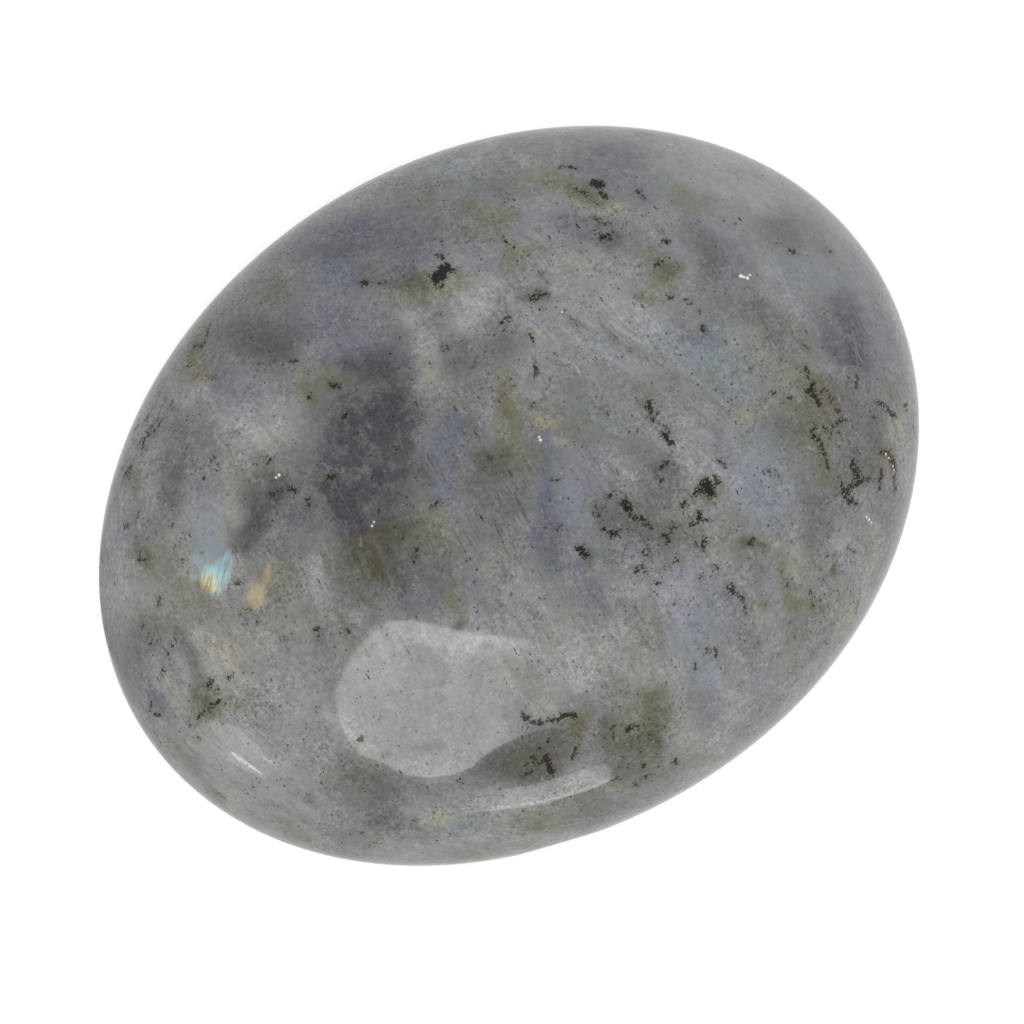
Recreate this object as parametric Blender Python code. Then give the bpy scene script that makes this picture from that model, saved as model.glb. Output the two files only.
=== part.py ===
"""A labradorite palm stone: one polished oval pebble that lies in the hand or flat on a table.

Units are metres, +Z is up and +X runs along the stone's length. The origin is under the middle
of the stone, on the flat that it rests on.

The surface is a grid of rings and spokes. Each ring is the oval outline drawn smaller, at the
height that the crown or the underside has there, and three slight flats are ground into the rim.
"""

import math

import bmesh
import bpy
from mathutils import Vector

# Driving dimensions
LENGTH = 0.0660
WIDTH = 0.0524
THICKNESS = 0.0240
GIRDLE_HEIGHT = 0.0108  # the widest section, above the resting flat
RESTING_FLAT_LENGTH = 0.0290
CROWN_FULLNESS = 0.18  # 0 is an ellipsoid; more is flatter on top and fuller at the shoulder
UNDERSIDE_FULLNESS = 0.24

# The outline is slightly off a true ellipse: (lobes round the stone, depth, turn in degrees)
OUTLINE_LOBES = (
    (3, 0.00010, 193.0),
    (4, 0.00007, 90.0),
    (5, 0.00003, 70.0),
)
# The girdle rises and falls a little round the stone: (waves, height, turn in degrees)
GIRDLE_WAVES = (
    (1, 0.00035, 160.0),
    (2, 0.00025, 35.0),
    (3, 0.00012, 280.0),
)
# Flats left by the grinding wheel: (direction round the stone, tilt above level, depth of cut)
RIM_FLATS = (
    (255.0, 4.0, 0.00028),
    (68.0, -24.0, 0.00012),
    (152.0, 32.0, 0.00010),
)
FLAT_EDGE_SOFTNESS = 0.00002

# Grid
SPOKES = 96
CROWN_RINGS = 17
UNDERSIDE_RINGS = 11

LABRADORITE_GREY = (0.235, 0.240, 0.240, 1.0)
POLISH_ROUGHNESS = 0.12


def waves(terms, turn):
    """The sum of a few cosine waves round the stone, at an angle in radians."""
    return sum(size * math.cos(count * turn - math.radians(phase)) for count, size, phase in terms)


def fullness_curve(share, fullness):
    """Height over the girdle at a share of the way out from the middle: 1 there, 0 at the rim."""
    return math.sqrt(max(0.0, 1.0 - share * share)) * (1.0 + fullness * share * share)


def outline(turn):
    """A point of the oval, seen from above, at an eccentric angle in radians."""
    across = Vector((LENGTH / 2 * math.cos(turn), WIDTH / 2 * math.sin(turn)))
    return across * (1.0 + waves(OUTLINE_LOBES, turn) / across.length)


def height(share, turn, upper):
    """Height of the crown or of the underside above the resting flat."""
    girdle = GIRDLE_HEIGHT + waves(GIRDLE_WAVES, turn)
    if upper:
        rise = fullness_curve(share, CROWN_FULLNESS)
        return girdle * (1.0 - rise) + THICKNESS * rise
    flat_share = RESTING_FLAT_LENGTH / LENGTH
    drop = fullness_curve(share, UNDERSIDE_FULLNESS) / fullness_curve(flat_share, UNDERSIDE_FULLNESS)
    return girdle * (1.0 - drop)


def pressed_onto_flats(point):
    """The point, moved in where it stands out of one of the rim's ground flats."""
    for direction, tilt, depth in RIM_FLATS:
        turn = math.radians(direction)
        level = Vector((math.cos(turn), math.sin(turn), 0.0))
        outward = level * math.cos(math.radians(tilt)) + Vector((0, 0, math.sin(math.radians(tilt))))
        proud = (point - rim_point_facing(outward)).dot(outward) + depth
        eased = FLAT_EDGE_SOFTNESS * math.log1p(math.exp(min(proud / FLAT_EDGE_SOFTNESS, 60.0)))
        point = point - outward * eased
    return point


def rim_point_facing(outward):
    """The point of the rim, taken as an ellipsoid's, where the surface faces this way."""
    radii = Vector((LENGTH / 2, WIDTH / 2, THICKNESS / 2))
    scaled = Vector(r * n for r, n in zip(radii, outward))
    touching = Vector(r * s for r, s in zip(radii, scaled)) / scaled.length
    return touching + Vector((0, 0, GIRDLE_HEIGHT))


def ring(mesh, share, upper):
    """One ring of points at a share of the way out from the middle."""
    points = []
    for spoke in range(SPOKES):
        turn = 2 * math.pi * spoke / SPOKES
        across = outline(turn) * share
        place = Vector((across.x, across.y, height(share, turn, upper)))
        points.append(mesh.verts.new(pressed_onto_flats(place)))
    return points


def join_rings(mesh, above, below):
    """The band of faces between two rings."""
    for i in range(SPOKES):
        j = (i + 1) % SPOKES
        mesh.faces.new((above[i], below[i], below[j], above[j]))


def crown_shares():
    """Shares of the way out for the crown's rings, closer together towards the rim."""
    return [math.sin(math.pi / 2 * i / CROWN_RINGS) for i in range(1, CROWN_RINGS + 1)]


def underside_shares():
    """Shares for the underside's rings, from under the girdle in to the resting flat's edge."""
    last = math.asin(RESTING_FLAT_LENGTH / LENGTH)
    steps = (i / UNDERSIDE_RINGS for i in range(1, UNDERSIDE_RINGS + 1))
    return [math.sin(math.pi / 2 + (last - math.pi / 2) * step) for step in steps]


def stone_mesh():
    """The closed surface of the stone."""
    mesh = bmesh.new()
    rings = [ring(mesh, share, True) for share in crown_shares()]
    rings += [ring(mesh, share, False) for share in underside_shares()]
    for above, below in zip(rings, rings[1:]):
        join_rings(mesh, above, below)
    for point in rings[-1]:
        point.co.z = 0.0
    mesh.faces.new(reversed(rings[-1]))
    top = mesh.verts.new((0.0, 0.0, THICKNESS))
    for i in range(SPOKES):
        mesh.faces.new((top, rings[0][i], rings[0][(i + 1) % SPOKES]))
    data = bpy.data.meshes.new("stone")
    mesh.to_mesh(data)
    mesh.free()
    return data


def labradorite():
    """Polished grey feldspar."""
    material = bpy.data.materials.new("labradorite")
    material.use_nodes = True
    shader = material.node_tree.nodes["Principled BSDF"]
    shader.inputs["Base Color"].default_value = LABRADORITE_GREY
    shader.inputs["Roughness"].default_value = POLISH_ROUGHNESS
    shader.inputs["Metallic"].default_value = 0.0
    return material


def main():
    for old in list(bpy.data.objects):
        bpy.data.objects.remove(old)
    data = stone_mesh()
    data.materials.append(labradorite())
    data.shade_smooth()
    data.set_sharp_from_angle(angle=math.radians(30))
    stone = bpy.data.objects.new("stone", data)
    bpy.context.scene.collection.objects.link(stone)


main()
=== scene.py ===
"""The looks of the palm stone: a polished oval of grey labradorite, seen from straight above.

The stone is one closed skin over the CAD body, built from the same outline and height curves. Its
colour is painted in layers. Cloudy patches, dark inclusions and the rainbow flash are placed at
pixels of the 1024 x 1024 photograph, and fine grain, specks and scratches are procedural. The flash
is a painted sheen, the chips hold a painted glint, and some patches hold painted light and shade.
"""
import math
import random

import bpy
import numpy as np
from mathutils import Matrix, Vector, noise


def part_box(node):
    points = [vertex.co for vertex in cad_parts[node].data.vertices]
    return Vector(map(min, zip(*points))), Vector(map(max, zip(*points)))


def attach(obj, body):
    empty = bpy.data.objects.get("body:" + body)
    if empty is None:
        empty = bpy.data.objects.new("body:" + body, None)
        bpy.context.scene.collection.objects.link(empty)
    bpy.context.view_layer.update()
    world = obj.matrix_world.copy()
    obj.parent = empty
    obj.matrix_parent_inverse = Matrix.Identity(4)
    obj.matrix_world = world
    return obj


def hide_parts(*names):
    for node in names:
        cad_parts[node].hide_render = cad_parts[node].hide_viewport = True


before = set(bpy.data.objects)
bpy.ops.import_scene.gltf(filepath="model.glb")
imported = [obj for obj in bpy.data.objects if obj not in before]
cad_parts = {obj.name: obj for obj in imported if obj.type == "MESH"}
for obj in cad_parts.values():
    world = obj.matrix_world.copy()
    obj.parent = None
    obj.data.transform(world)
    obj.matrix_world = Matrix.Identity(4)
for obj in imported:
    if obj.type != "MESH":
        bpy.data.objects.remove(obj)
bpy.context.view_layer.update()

# Shape, the same curves as the CAD body, in metres
CAD_LOW, CAD_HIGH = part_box("stone")
LENGTH, WIDTH, THICKNESS = CAD_HIGH - CAD_LOW
GIRDLE_HEIGHT = 0.0108
RESTING_FLAT_LENGTH = 0.0290
CROWN_FULLNESS = 0.18
UNDERSIDE_FULLNESS = 0.24
OUTLINE_LOBES = ((3, 0.00010, 193.0), (4, 0.00007, 90.0), (5, 0.00003, 70.0))
GIRDLE_WAVES = ((1, 0.00035, 160.0), (2, 0.00025, 35.0), (3, 0.00012, 280.0))
RIM_FLATS = ((255.0, 4.0, 0.00028), (68.0, -24.0, 0.00012), (152.0, 32.0, 0.00010))
FLAT_EDGE_SOFTNESS = 0.00002
STEEPEST_EASING = 60.0  # keeps the exponential finite
RESTING_REACH = 0.00002  # points this low lie on the resting flat
POLISH_WAVE_DEPTH = 0.000012
POLISH_WAVES_PER_METRE = 130.0

# Grid of the skin: a box blown up into the stone, half as fine below as above
GRID_LONG, GRID_WIDE = 276, 216
BOX_HALF_HEIGHT = 0.35
RIM_ROWS = 16
UNDER_ROWS = 9

# Photograph and camera
PHOTO_SIDE = 1024
PHOTO_TURN = 31.43  # the stone's long axis, in degrees above level
STONE_IN_PHOTO = (508.4, 496.3)
STONE_LENGTH = 0.0660
LENGTH_IN_PHOTO = 865.8
METRES_PER_PIXEL = STONE_LENGTH / LENGTH_IN_PHOTO
MILLIMETRES = 1000.0
LENS = 150.0
SENSOR = 36.0
NEAREST_SEEN = 0.01


def waves(terms, turn):
    return sum(size * np.cos(count * turn - math.radians(phase)) for count, size, phase in terms)


def fullness_curve(share, fullness):
    return np.sqrt(np.maximum(0.0, 1.0 - share * share)) * (1.0 + fullness * share * share)


def outline(turn):
    across = np.stack([LENGTH / 2 * np.cos(turn), WIDTH / 2 * np.sin(turn)], axis=1)
    reach = np.linalg.norm(across, axis=1)
    return across * (1.0 + waves(OUTLINE_LOBES, turn) / reach)[:, None]


def heights(share, turn, upper):
    girdle = GIRDLE_HEIGHT + waves(GIRDLE_WAVES, turn)
    rise = fullness_curve(share, CROWN_FULLNESS)
    flat = fullness_curve(np.array(RESTING_FLAT_LENGTH / LENGTH), UNDERSIDE_FULLNESS)
    drop = np.minimum(fullness_curve(share, UNDERSIDE_FULLNESS) / flat, 1.0)
    return np.where(upper, girdle * (1.0 - rise) + THICKNESS * rise, girdle * (1.0 - drop))


def pressed_onto_flats(points):
    radii = np.array([LENGTH / 2, WIDTH / 2, THICKNESS / 2])
    for direction, tilt, depth in RIM_FLATS:
        turn, lean = math.radians(direction), math.radians(tilt)
        level = math.cos(lean)
        outward = np.array([math.cos(turn) * level, math.sin(turn) * level, math.sin(lean)])
        scaled = radii * outward
        rim_point = radii * scaled / np.linalg.norm(scaled) + np.array([0.0, 0.0, GIRDLE_HEIGHT])
        proud = (points - rim_point) @ outward + depth
        eased = FLAT_EDGE_SOFTNESS * np.log1p(np.exp(np.minimum(proud / FLAT_EDGE_SOFTNESS, STEEPEST_EASING)))
        points = points - np.outer(eased, outward)
    return points


def stone_surface(rays):
    """The point of the stone's surface that each ray from its middle stands for."""
    rays = rays / np.linalg.norm(rays, axis=1)[:, None]
    share = np.hypot(rays[:, 0], rays[:, 1])
    turn = np.arctan2(rays[:, 1], rays[:, 0])
    flat = outline(turn) * share[:, None]
    points = np.column_stack([flat, heights(share, turn, rays[:, 2] >= 0.0)])
    return pressed_onto_flats(points)


def box_face(long_steps, wide_steps, level):
    """Rays over the top or the bottom of the box, their quads, and the loop of their border."""
    widest = math.atan(1.0 / BOX_HALF_HEIGHT)
    x = BOX_HALF_HEIGHT * np.tan(np.linspace(-widest, widest, long_steps + 1))
    y = BOX_HALF_HEIGHT * np.tan(np.linspace(-widest, widest, wide_steps + 1))
    grid = np.stack(np.meshgrid(x, y, indexing="ij"), axis=-1).reshape(-1, 2)
    rays = np.column_stack([grid, np.full(len(grid), level)])
    index = np.arange(len(grid)).reshape(long_steps + 1, wide_steps + 1)
    corners = [index[:-1, :-1], index[1:, :-1], index[1:, 1:], index[:-1, 1:]]
    quads = np.stack(corners, axis=-1).reshape(-1, 4)
    border = np.concatenate([index[:-1, 0], index[-1, :-1], index[:0:-1, -1], index[0, :0:-1]])
    return rays, quads, border


def band_quads(upper, lower):
    return np.stack([upper, lower, np.roll(lower, -1), np.roll(upper, -1)], axis=1)


def halving_triangles(upper, lower):
    """Joins a ring to the ring below it, which has half as many points."""
    first, middle, last = upper[0::2], upper[1::2], np.roll(upper[0::2], -1)
    after = np.roll(lower, -1)
    fans = [(first, lower, middle), (middle, lower, after), (middle, after, last)]
    return np.concatenate([np.stack(fan, axis=1) for fan in fans])


def stone_grid():
    """Rays and faces of the whole skin."""
    top_rays, top_quads, top_border = box_face(GRID_LONG, GRID_WIDE, BOX_HALF_HEIGHT)
    base_rays, base_quads, base_border = box_face(GRID_LONG // 2, GRID_WIDE // 2, -BOX_HALF_HEIGHT)
    rays, faces = [top_rays], top_quads.tolist()
    ring, used = top_border, len(top_rays)
    steepest = math.atan(BOX_HALF_HEIGHT)
    for row in range(1, RIM_ROWS + 1):
        level = math.tan(steepest * (1.0 - row / RIM_ROWS))
        below = np.arange(used, used + len(top_border))
        rays.append(np.column_stack([top_rays[top_border, :2], np.full(len(top_border), level)]))
        faces += band_quads(ring, below).tolist()
        ring, used = below, used + len(top_border)
    for row in range(1, UNDER_ROWS):
        level = -math.tan(steepest * row / UNDER_ROWS)
        below = np.arange(used, used + len(base_border))
        rays.append(np.column_stack([base_rays[base_border, :2], np.full(len(base_border), level)]))
        joined = halving_triangles(ring, below) if row == 1 else band_quads(ring, below)
        faces += joined.tolist()
        ring, used = below, used + len(base_border)
    rays.append(base_rays)
    faces += band_quads(ring, base_border + used).tolist()
    faces += (base_quads[:, ::-1] + used).tolist()
    return np.concatenate(rays), faces


def fitted_to_cad(points):
    low, high = points.min(axis=0), points.max(axis=0)
    return np.array(CAD_LOW) + (points - low) / (high - low) * (np.array(CAD_HIGH) - np.array(CAD_LOW))


def polish_waves(points):
    """The slight unevenness that hand polishing leaves, as a share of its full depth."""
    return np.array([noise.noise(Vector(p) * POLISH_WAVES_PER_METRE) for p in points])


def linked(thing):
    bpy.context.scene.collection.objects.link(thing)
    return thing


def new_material(name):
    material = bpy.data.materials.new(name)
    material.use_nodes = True
    return material


def make_stone():
    rays, faces = stone_grid()
    points = stone_surface(rays)
    middle = np.array([0.0, 0.0, GIRDLE_HEIGHT])
    inward = middle - points
    inward /= np.linalg.norm(inward, axis=1)[:, None]
    resting = points[:, 2] < RESTING_REACH
    depth = np.where(resting, 0.0, POLISH_WAVE_DEPTH * (polish_waves(points) + 1.0) / 2)
    points = fitted_to_cad(points + inward * depth[:, None])
    mesh = bpy.data.meshes.new("labradorite_stone")
    mesh.from_pydata(points.tolist(), [], faces)
    mesh.shade_smooth()
    return linked(bpy.data.objects.new("labradorite_stone", mesh)), points


# Directions of the photograph in the CAD frame
TURN = math.radians(-PHOTO_TURN)
PHOTO_RIGHT = Vector((math.cos(TURN), math.sin(TURN), 0.0))
PHOTO_UP = Vector((-math.sin(TURN), math.cos(TURN), 0.0))


def camera_place():
    distance = METRES_PER_PIXEL * PHOTO_SIDE * LENS / SENSOR
    right = (PHOTO_SIDE / 2 - STONE_IN_PHOTO[0]) * METRES_PER_PIXEL
    up = (STONE_IN_PHOTO[1] - PHOTO_SIDE / 2) * METRES_PER_PIXEL
    middle = (CAD_LOW + CAD_HIGH) / 2
    level = Vector((middle.x, middle.y, GIRDLE_HEIGHT))
    return level + PHOTO_RIGHT * right + PHOTO_UP * up + Vector((0.0, 0.0, distance))


CAMERA_AT = camera_place()


def pixel_ray(x, y):
    """The direction in which the camera sees a pixel of the photograph."""
    per_pixel = SENSOR / LENS / PHOTO_SIDE
    right = (x - PHOTO_SIDE / 2) * per_pixel
    up = (PHOTO_SIDE / 2 - y) * per_pixel
    return (PHOTO_RIGHT * right + PHOTO_UP * up - Vector((0.0, 0.0, 1.0))).normalized()


def on_stone(stone, x, y):
    """Where a pixel of the photograph lies on the stone, and which way the surface faces there."""
    hit, place, facing, _ = stone.ray_cast(CAMERA_AT, pixel_ray(x, y))
    if hit:
        return place, facing
    # the pixel just misses the rim, so the nearest point of the stone is taken
    level = CAMERA_AT + pixel_ray(x, y) * (CAMERA_AT.z - GIRDLE_HEIGHT)
    _, place, facing, _ = stone.closest_point_on_mesh(level)
    return place, facing


# Cloudy patches, by kind, some of them partly painted light and shade: (x, y, half length, half width, turn
# clockwise from level, strength)
PATCHES = {
    "pearl_and_sheen": (
        # partly painted sheen: the patches along the lower left, bottom and upper right rims and beside the
        # lamp's reflection are lighter where light falls, the rest is the stone's pale tone
        (236, 776, 86, 44, 44, 0.8), (196, 668, 74, 40, 62, 0.5), (286, 716, 70, 44, 24, 0.5),
        (486, 838, 92, 20, -6, 0.6), (716, 176, 118, 32, 17, 0.6), (626, 322, 84, 46, 38, 0.5),
        (664, 646, 70, 46, 88, 0.45), (528, 618, 74, 26, 6, 0.5), (436, 314, 46, 24, -22, 0.5),
        (792, 306, 62, 24, 52, 0.4), (213, 543, 60, 34, 8, 0.35), (258, 436, 34, 20, -14, 0.4),
        (676, 474, 46, 24, 42, 0.4), (748, 348, 56, 20, 58, 0.35), (396, 806, 60, 22, 8, 0.3),
    ),
    "mist": (
        (640, 250, 170, 90, 22, 0.55), (350, 300, 140, 90, -24, 0.5), (846, 322, 92, 56, 62, 0.5),
        (560, 420, 150, 90, 20, 0.35), (636, 572, 110, 60, 0, 0.2),
    ),
    "dusk": (
        (864, 440, 62, 38, 74, 0.6), (801, 484, 44, 28, 78, 0.5), (493, 506, 52, 32, 64, 0.5),
        (322, 436, 50, 26, 94, 0.4), (352, 240, 84, 34, -18, 0.7), (262, 324, 54, 30, -16, 0.4),
        # partly painted shade: the patch at 546, 747 darkens the wedge below the lamp's reflection, over
        # darker stone
        (546, 747, 64, 22, -8, 0.5), (635, 765, 42, 24, 6, 0.6), (595, 816, 46, 14, -13, 0.5),
        (636, 448, 36, 24, 54, 0.45), (588, 428, 30, 22, 40, 0.4), (472, 216, 40, 22, -8, 0.4),
        (414, 186, 52, 15, -22, 0.35), (398, 476, 24, 30, 0, 0.35), (357, 812, 34, 18, 10, 0.4),
    ),
    "teal": (
        (385, 262, 30, 12, 10, 0.5), (240, 293, 14, 10, 0, 0.7), (250, 376, 14, 8, 0, 0.4),
        (318, 452, 16, 10, 90, 0.5), (452, 160, 22, 6, 25, 1.0), (480, 172, 30, 7, 20, 0.8),
        (496, 186, 16, 8, 30, 0.8), (725, 355, 40, 26, 60, 0.8), (665, 340, 26, 14, 20, 0.8),
        (745, 390, 20, 14, 40, 0.5), (806, 272, 26, 20, 30, 0.6), (595, 425, 26, 18, 40, 0.5),
        (665, 182, 22, 12, 0, 0.5), (712, 215, 16, 12, 90, 0.4), (762, 245, 20, 14, 90, 0.4),
        (600, 352, 26, 14, 10, 0.4), (770, 450, 30, 18, 0, 0.6), (463, 820, 14, 10, 20, 1.0),
        (120, 540, 15, 10, 0, 0.4), (330, 655, 34, 20, 45, 0.4), (310, 730, 34, 16, 60, 0.2),
        (775, 655, 40, 30, 0, 0.45), (680, 575, 14, 10, 0, 0.7), (602, 545, 12, 8, 90, 0.9),
        (555, 560, 18, 12, 60, 0.5), (410, 570, 14, 22, 0, 0.3), (520, 200, 30, 20, 0, 0.3),
    ),
    "sky": (
        (706, 655, 52, 17, 88, 0.75), (762, 492, 34, 30, 0, 0.85), (737, 478, 22, 16, 0, 0.6),
        (565, 500, 26, 12, 80, 0.6), (640, 322, 14, 10, 30, 0.6), (700, 350, 20, 14, 0, 0.4),
        (205, 480, 20, 30, 0, 0.3), (458, 585, 26, 16, 60, 0.2), (345, 350, 14, 8, 0, 0.5),
        (720, 610, 22, 16, 60, 0.4), (255, 770, 26, 12, 45, 0.4),
    ),
    "violet": (
        (338, 236, 46, 19, -12, 1.0), (362, 214, 24, 15, 0, 0.9), (402, 224, 34, 28, 20, 0.5),
        (415, 242, 16, 14, 0, 0.5), (412, 263, 20, 14, -20, 0.6), (330, 322, 46, 28, 0, 0.5),
        (275, 335, 26, 20, 0, 0.5), (222, 388, 24, 12, 65, 0.7), (370, 365, 36, 18, 15, 0.8),
        (300, 526, 20, 13, 10, 0.6), (420, 592, 30, 22, 0, 0.6), (118, 655, 34, 14, 75, 0.5),
        (152, 700, 24, 12, 50, 0.6), (155, 635, 30, 22, 0, 0.3), (440, 792, 28, 10, 5, 0.5),
        (845, 332, 42, 28, 65, 0.85), (885, 325, 32, 12, 70, 0.4), (855, 378, 28, 22, 0, 0.3),
        (725, 256, 26, 18, 30, 0.7), (610, 160, 40, 20, 10, 0.6), (575, 217, 22, 14, 0, 0.6),
        (660, 482, 24, 18, 50, 0.4), (600, 470, 30, 12, 50, 0.3), (690, 325, 26, 14, 40, 0.5),
        (640, 190, 20, 12, 0, 0.4), (705, 705, 24, 14, 60, 0.4), (455, 430, 22, 14, 0, 0.4),
        (480, 235, 16, 14, 0, 0.3), (225, 715, 14, 8, 45, 0.3),
    ),
    "blue": (
        (337, 268, 28, 15, 10, 1.0), (353, 282, 14, 8, 20, 0.5), (436, 455, 36, 16, 100, 0.65),
        (458, 430, 18, 12, 0, 0.4), (535, 478, 34, 6, 92, 1.0), (543, 528, 30, 18, 80, 0.8),
        (570, 566, 11, 8, 0, 0.9), (580, 590, 20, 16, 0, 0.4), (482, 592, 30, 20, 70, 0.35),
        (628, 548, 16, 12, 0, 0.5), (890, 318, 26, 9, 72, 0.5), (150, 705, 20, 8, 50, 0.4),
        (590, 600, 22, 22, 0, 0.2), (505, 600, 20, 30, 0, 0.3),
    ),
    "lavender": (
        (262, 412, 28, 14, 0, 0.6), (225, 430, 30, 22, 80, 0.4), (205, 505, 30, 20, 0, 0.35),
        (680, 592, 34, 18, 60, 0.8), (732, 690, 42, 16, 100, 0.45), (700, 448, 34, 18, 40, 0.5),
        # painted sheen: the patches at 742, 172 and 770, 205 lighten the upper right rim
        (430, 850, 34, 14, 0, 0.6), (742, 172, 44, 14, 25, 0.6), (770, 205, 18, 10, 30, 0.6),
        # painted highlight: the patch at 500, 630 lightens the lamp's reflection
        (725, 495, 16, 26, 0, 0.5), (500, 630, 30, 14, 20, 0.4), (655, 285, 20, 12, 0, 0.2),
        # painted sheen: the patch at 700, 160 lightens the upper right rim
        (620, 365, 26, 20, 40, 0.3), (555, 300, 20, 12, 0, 0.3), (700, 160, 40, 12, 12, 0.4),
        # painted highlight: the patch at 585, 660 lightens the lamp's reflection; painted sheen: the one at
        # 850, 240 lightens the upper right rim
        (850, 240, 40, 10, 50, 0.4), (585, 660, 24, 26, 0, 0.4), (200, 405, 26, 14, 60, 0.3),
        # painted sheen: the patch at 270, 790 lightens the lower left rim
        (120, 590, 12, 30, 0, 0.3), (270, 790, 30, 16, 45, 0.3),
    ),
    "pale": (
        (420, 326, 26, 15, 35, 0.6), (476, 314, 30, 14, -35, 0.8), (448, 352, 30, 13, 0, 0.5),
        (486, 290, 20, 12, 0, 0.5), (258, 440, 26, 15, -10, 0.8), (185, 388, 24, 12, -20, 0.3),
        # painted sheen: the patch at 700, 152 lightens the upper right rim
        (315, 588, 22, 20, 0, 0.5), (700, 152, 54, 10, 15, 0.5), (612, 312, 44, 18, 25, 0.6),
        (700, 466, 28, 15, 40, 0.6), (612, 472, 24, 14, 45, 0.4), (655, 440, 20, 10, 40, 0.3),
        # painted highlight: the patches at 570, 660 and 470, 640 lighten the lamp's reflection and its bright
        # top strip
        (570, 660, 26, 24, 0, 0.5), (470, 640, 50, 10, 12, 0.3), (120, 610, 14, 50, 0, 0.3),
        (560, 380, 20, 26, 0, 0.3), (735, 345, 14, 12, 0, 0.4), (620, 420, 14, 20, 0, 0.2),
        (520, 580, 18, 16, 0, 0.4), (560, 345, 30, 14, 30, 0.3), (690, 400, 30, 16, 35, 0.3),
        (640, 665, 14, 10, 0, 0.3), (195, 640, 9, 7, -40, 0.9),
    ),
    "cream": (
        (266, 443, 20, 10, -15, 0.35), (226, 485, 34, 12, 80, 0.4), (435, 372, 20, 13, 80, 0.6),
        (462, 286, 26, 9, 0, 0.5), (440, 815, 20, 8, -10, 0.7), (615, 204, 30, 12, 15, 0.6),
        (570, 262, 46, 18, 10, 0.3), (545, 345, 12, 10, 0, 0.3), (562, 300, 30, 14, 70, 0.3),
        (755, 330, 20, 9, 70, 0.7), (745, 424, 9, 7, 0, 0.8), (765, 420, 12, 9, 0, 0.5),
        (776, 546, 26, 14, 10, 0.5), (895, 440, 34, 13, 100, 0.6), (850, 622, 32, 9, 122, 0.5),
        # painted highlight: the patch at 475, 655 lightens the lamp's reflection
        (242, 640, 34, 26, 0, 0.3), (475, 655, 26, 12, 10, 0.3), (560, 812, 26, 12, 0, 0.3),
        (610, 640, 44, 18, -10, 0.3), (590, 252, 22, 10, 0, 0.3), (480, 560, 16, 12, 0, 0.4),
        (290, 620, 26, 16, 60, 0.3), (660, 610, 14, 10, 0, 0.3), (870, 560, 26, 14, 100, 0.4),
        # painted highlight: the patch at 550, 730 lightens the edge of the lamp's reflection; painted sheen:
        # the one at 240, 820 lightens the lower left rim
        (240, 820, 40, 12, 40, 0.3), (690, 735, 22, 14, 0, 0.3), (550, 730, 12, 6, 0, 0.4),
    ),
    "olive": (
        (268, 288, 24, 20, 0, 0.5), (205, 342, 30, 12, 105, 0.7), (190, 364, 20, 13, 0, 0.5),
        (330, 385, 46, 11, -8, 0.6), (310, 402, 24, 8, 90, 0.7), (276, 480, 24, 12, 0, 0.3),
        (503, 424, 48, 10, 94, 0.8), (430, 286, 40, 13, -8, 0.6), (396, 180, 34, 8, -22, 0.3),
        (427, 190, 16, 9, 90, 0.5), (478, 218, 30, 20, -30, 0.45), (145, 560, 26, 20, 0, 0.45),
        (175, 568, 32, 18, 90, 0.25), (425, 532, 26, 24, 0, 0.4), (452, 602, 26, 8, 75, 0.6),
        (214, 706, 26, 12, -25, 0.65), (250, 696, 14, 10, 0, 0.6), (372, 778, 36, 20, 0, 0.35),
        (470, 853, 24, 11, 0, 0.5), (535, 826, 28, 11, 0, 0.6), (655, 704, 20, 15, 80, 0.8),
        (781, 564, 36, 9, 55, 0.55), (802, 590, 30, 8, 45, 0.7), (803, 640, 34, 12, 70, 0.4),
        (800, 422, 34, 22, 80, 0.6), (890, 386, 17, 15, 0, 0.5), (825, 468, 36, 8, 60, 0.8),
        (705, 262, 22, 13, 80, 0.5), (690, 200, 20, 10, 20, 0.6), (650, 265, 32, 13, 60, 0.6),
        (645, 290, 13, 8, 0, 0.8), (775, 366, 32, 20, 60, 0.4), (575, 180, 34, 11, 25, 0.7),
        (545, 175, 26, 12, 10, 0.4), (505, 215, 14, 20, 0, 0.4), (515, 265, 12, 14, 0, 0.4),
        (285, 585, 22, 20, 0, 0.5), (640, 392, 22, 14, 20, 0.4), (650, 640, 16, 30, 0, 0.3),
        (520, 460, 20, 10, 90, 0.5), (680, 540, 30, 20, 0, 0.3), (840, 590, 20, 16, 0, 0.3),
        (560, 428, 26, 12, 20, 0.4), (530, 255, 16, 12, 0, 0.3), (800, 330, 30, 9, 50, 0.5),
        (150, 615, 34, 10, 20, 0.4), (470, 200, 14, 12, 0, 0.3), (755, 275, 14, 10, 0, 0.3),
        (225, 310, 18, 14, -40, 0.4), (130, 470, 18, 14, 80, 0.4), (150, 430, 20, 10, -45, 0.4),
        (730, 530, 16, 24, 0, 0.4), (640, 770, 34, 14, -20, 0.5), (641, 735, 42, 26, 96, 0.4),
        (577, 738, 24, 13, 98, 0.8), (180, 755, 20, 12, 60, 0.3), (280, 830, 30, 14, 30, 0.3),
        (620, 700, 14, 24, 0, 0.3),
    ),
    "shade": (
        (380, 268, 28, 13, 15, 0.6), (258, 346, 38, 28, 10, 0.9), (232, 335, 17, 14, 0, 0.6),
        (268, 288, 22, 18, 0, 0.3), (395, 340, 22, 16, 30, 0.5), (375, 410, 32, 16, 0, 0.6),
        (445, 322, 22, 17, 20, 0.5), (468, 352, 20, 17, 0, 0.6), (470, 385, 34, 16, 100, 0.4),
        (480, 488, 40, 22, 60, 0.5), (168, 478, 28, 17, 90, 0.85), (185, 440, 32, 28, 0, 0.5),
        (244, 545, 22, 14, 120, 0.7), (290, 562, 26, 16, 0, 0.45), (375, 548, 34, 28, 0, 0.8),
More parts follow.
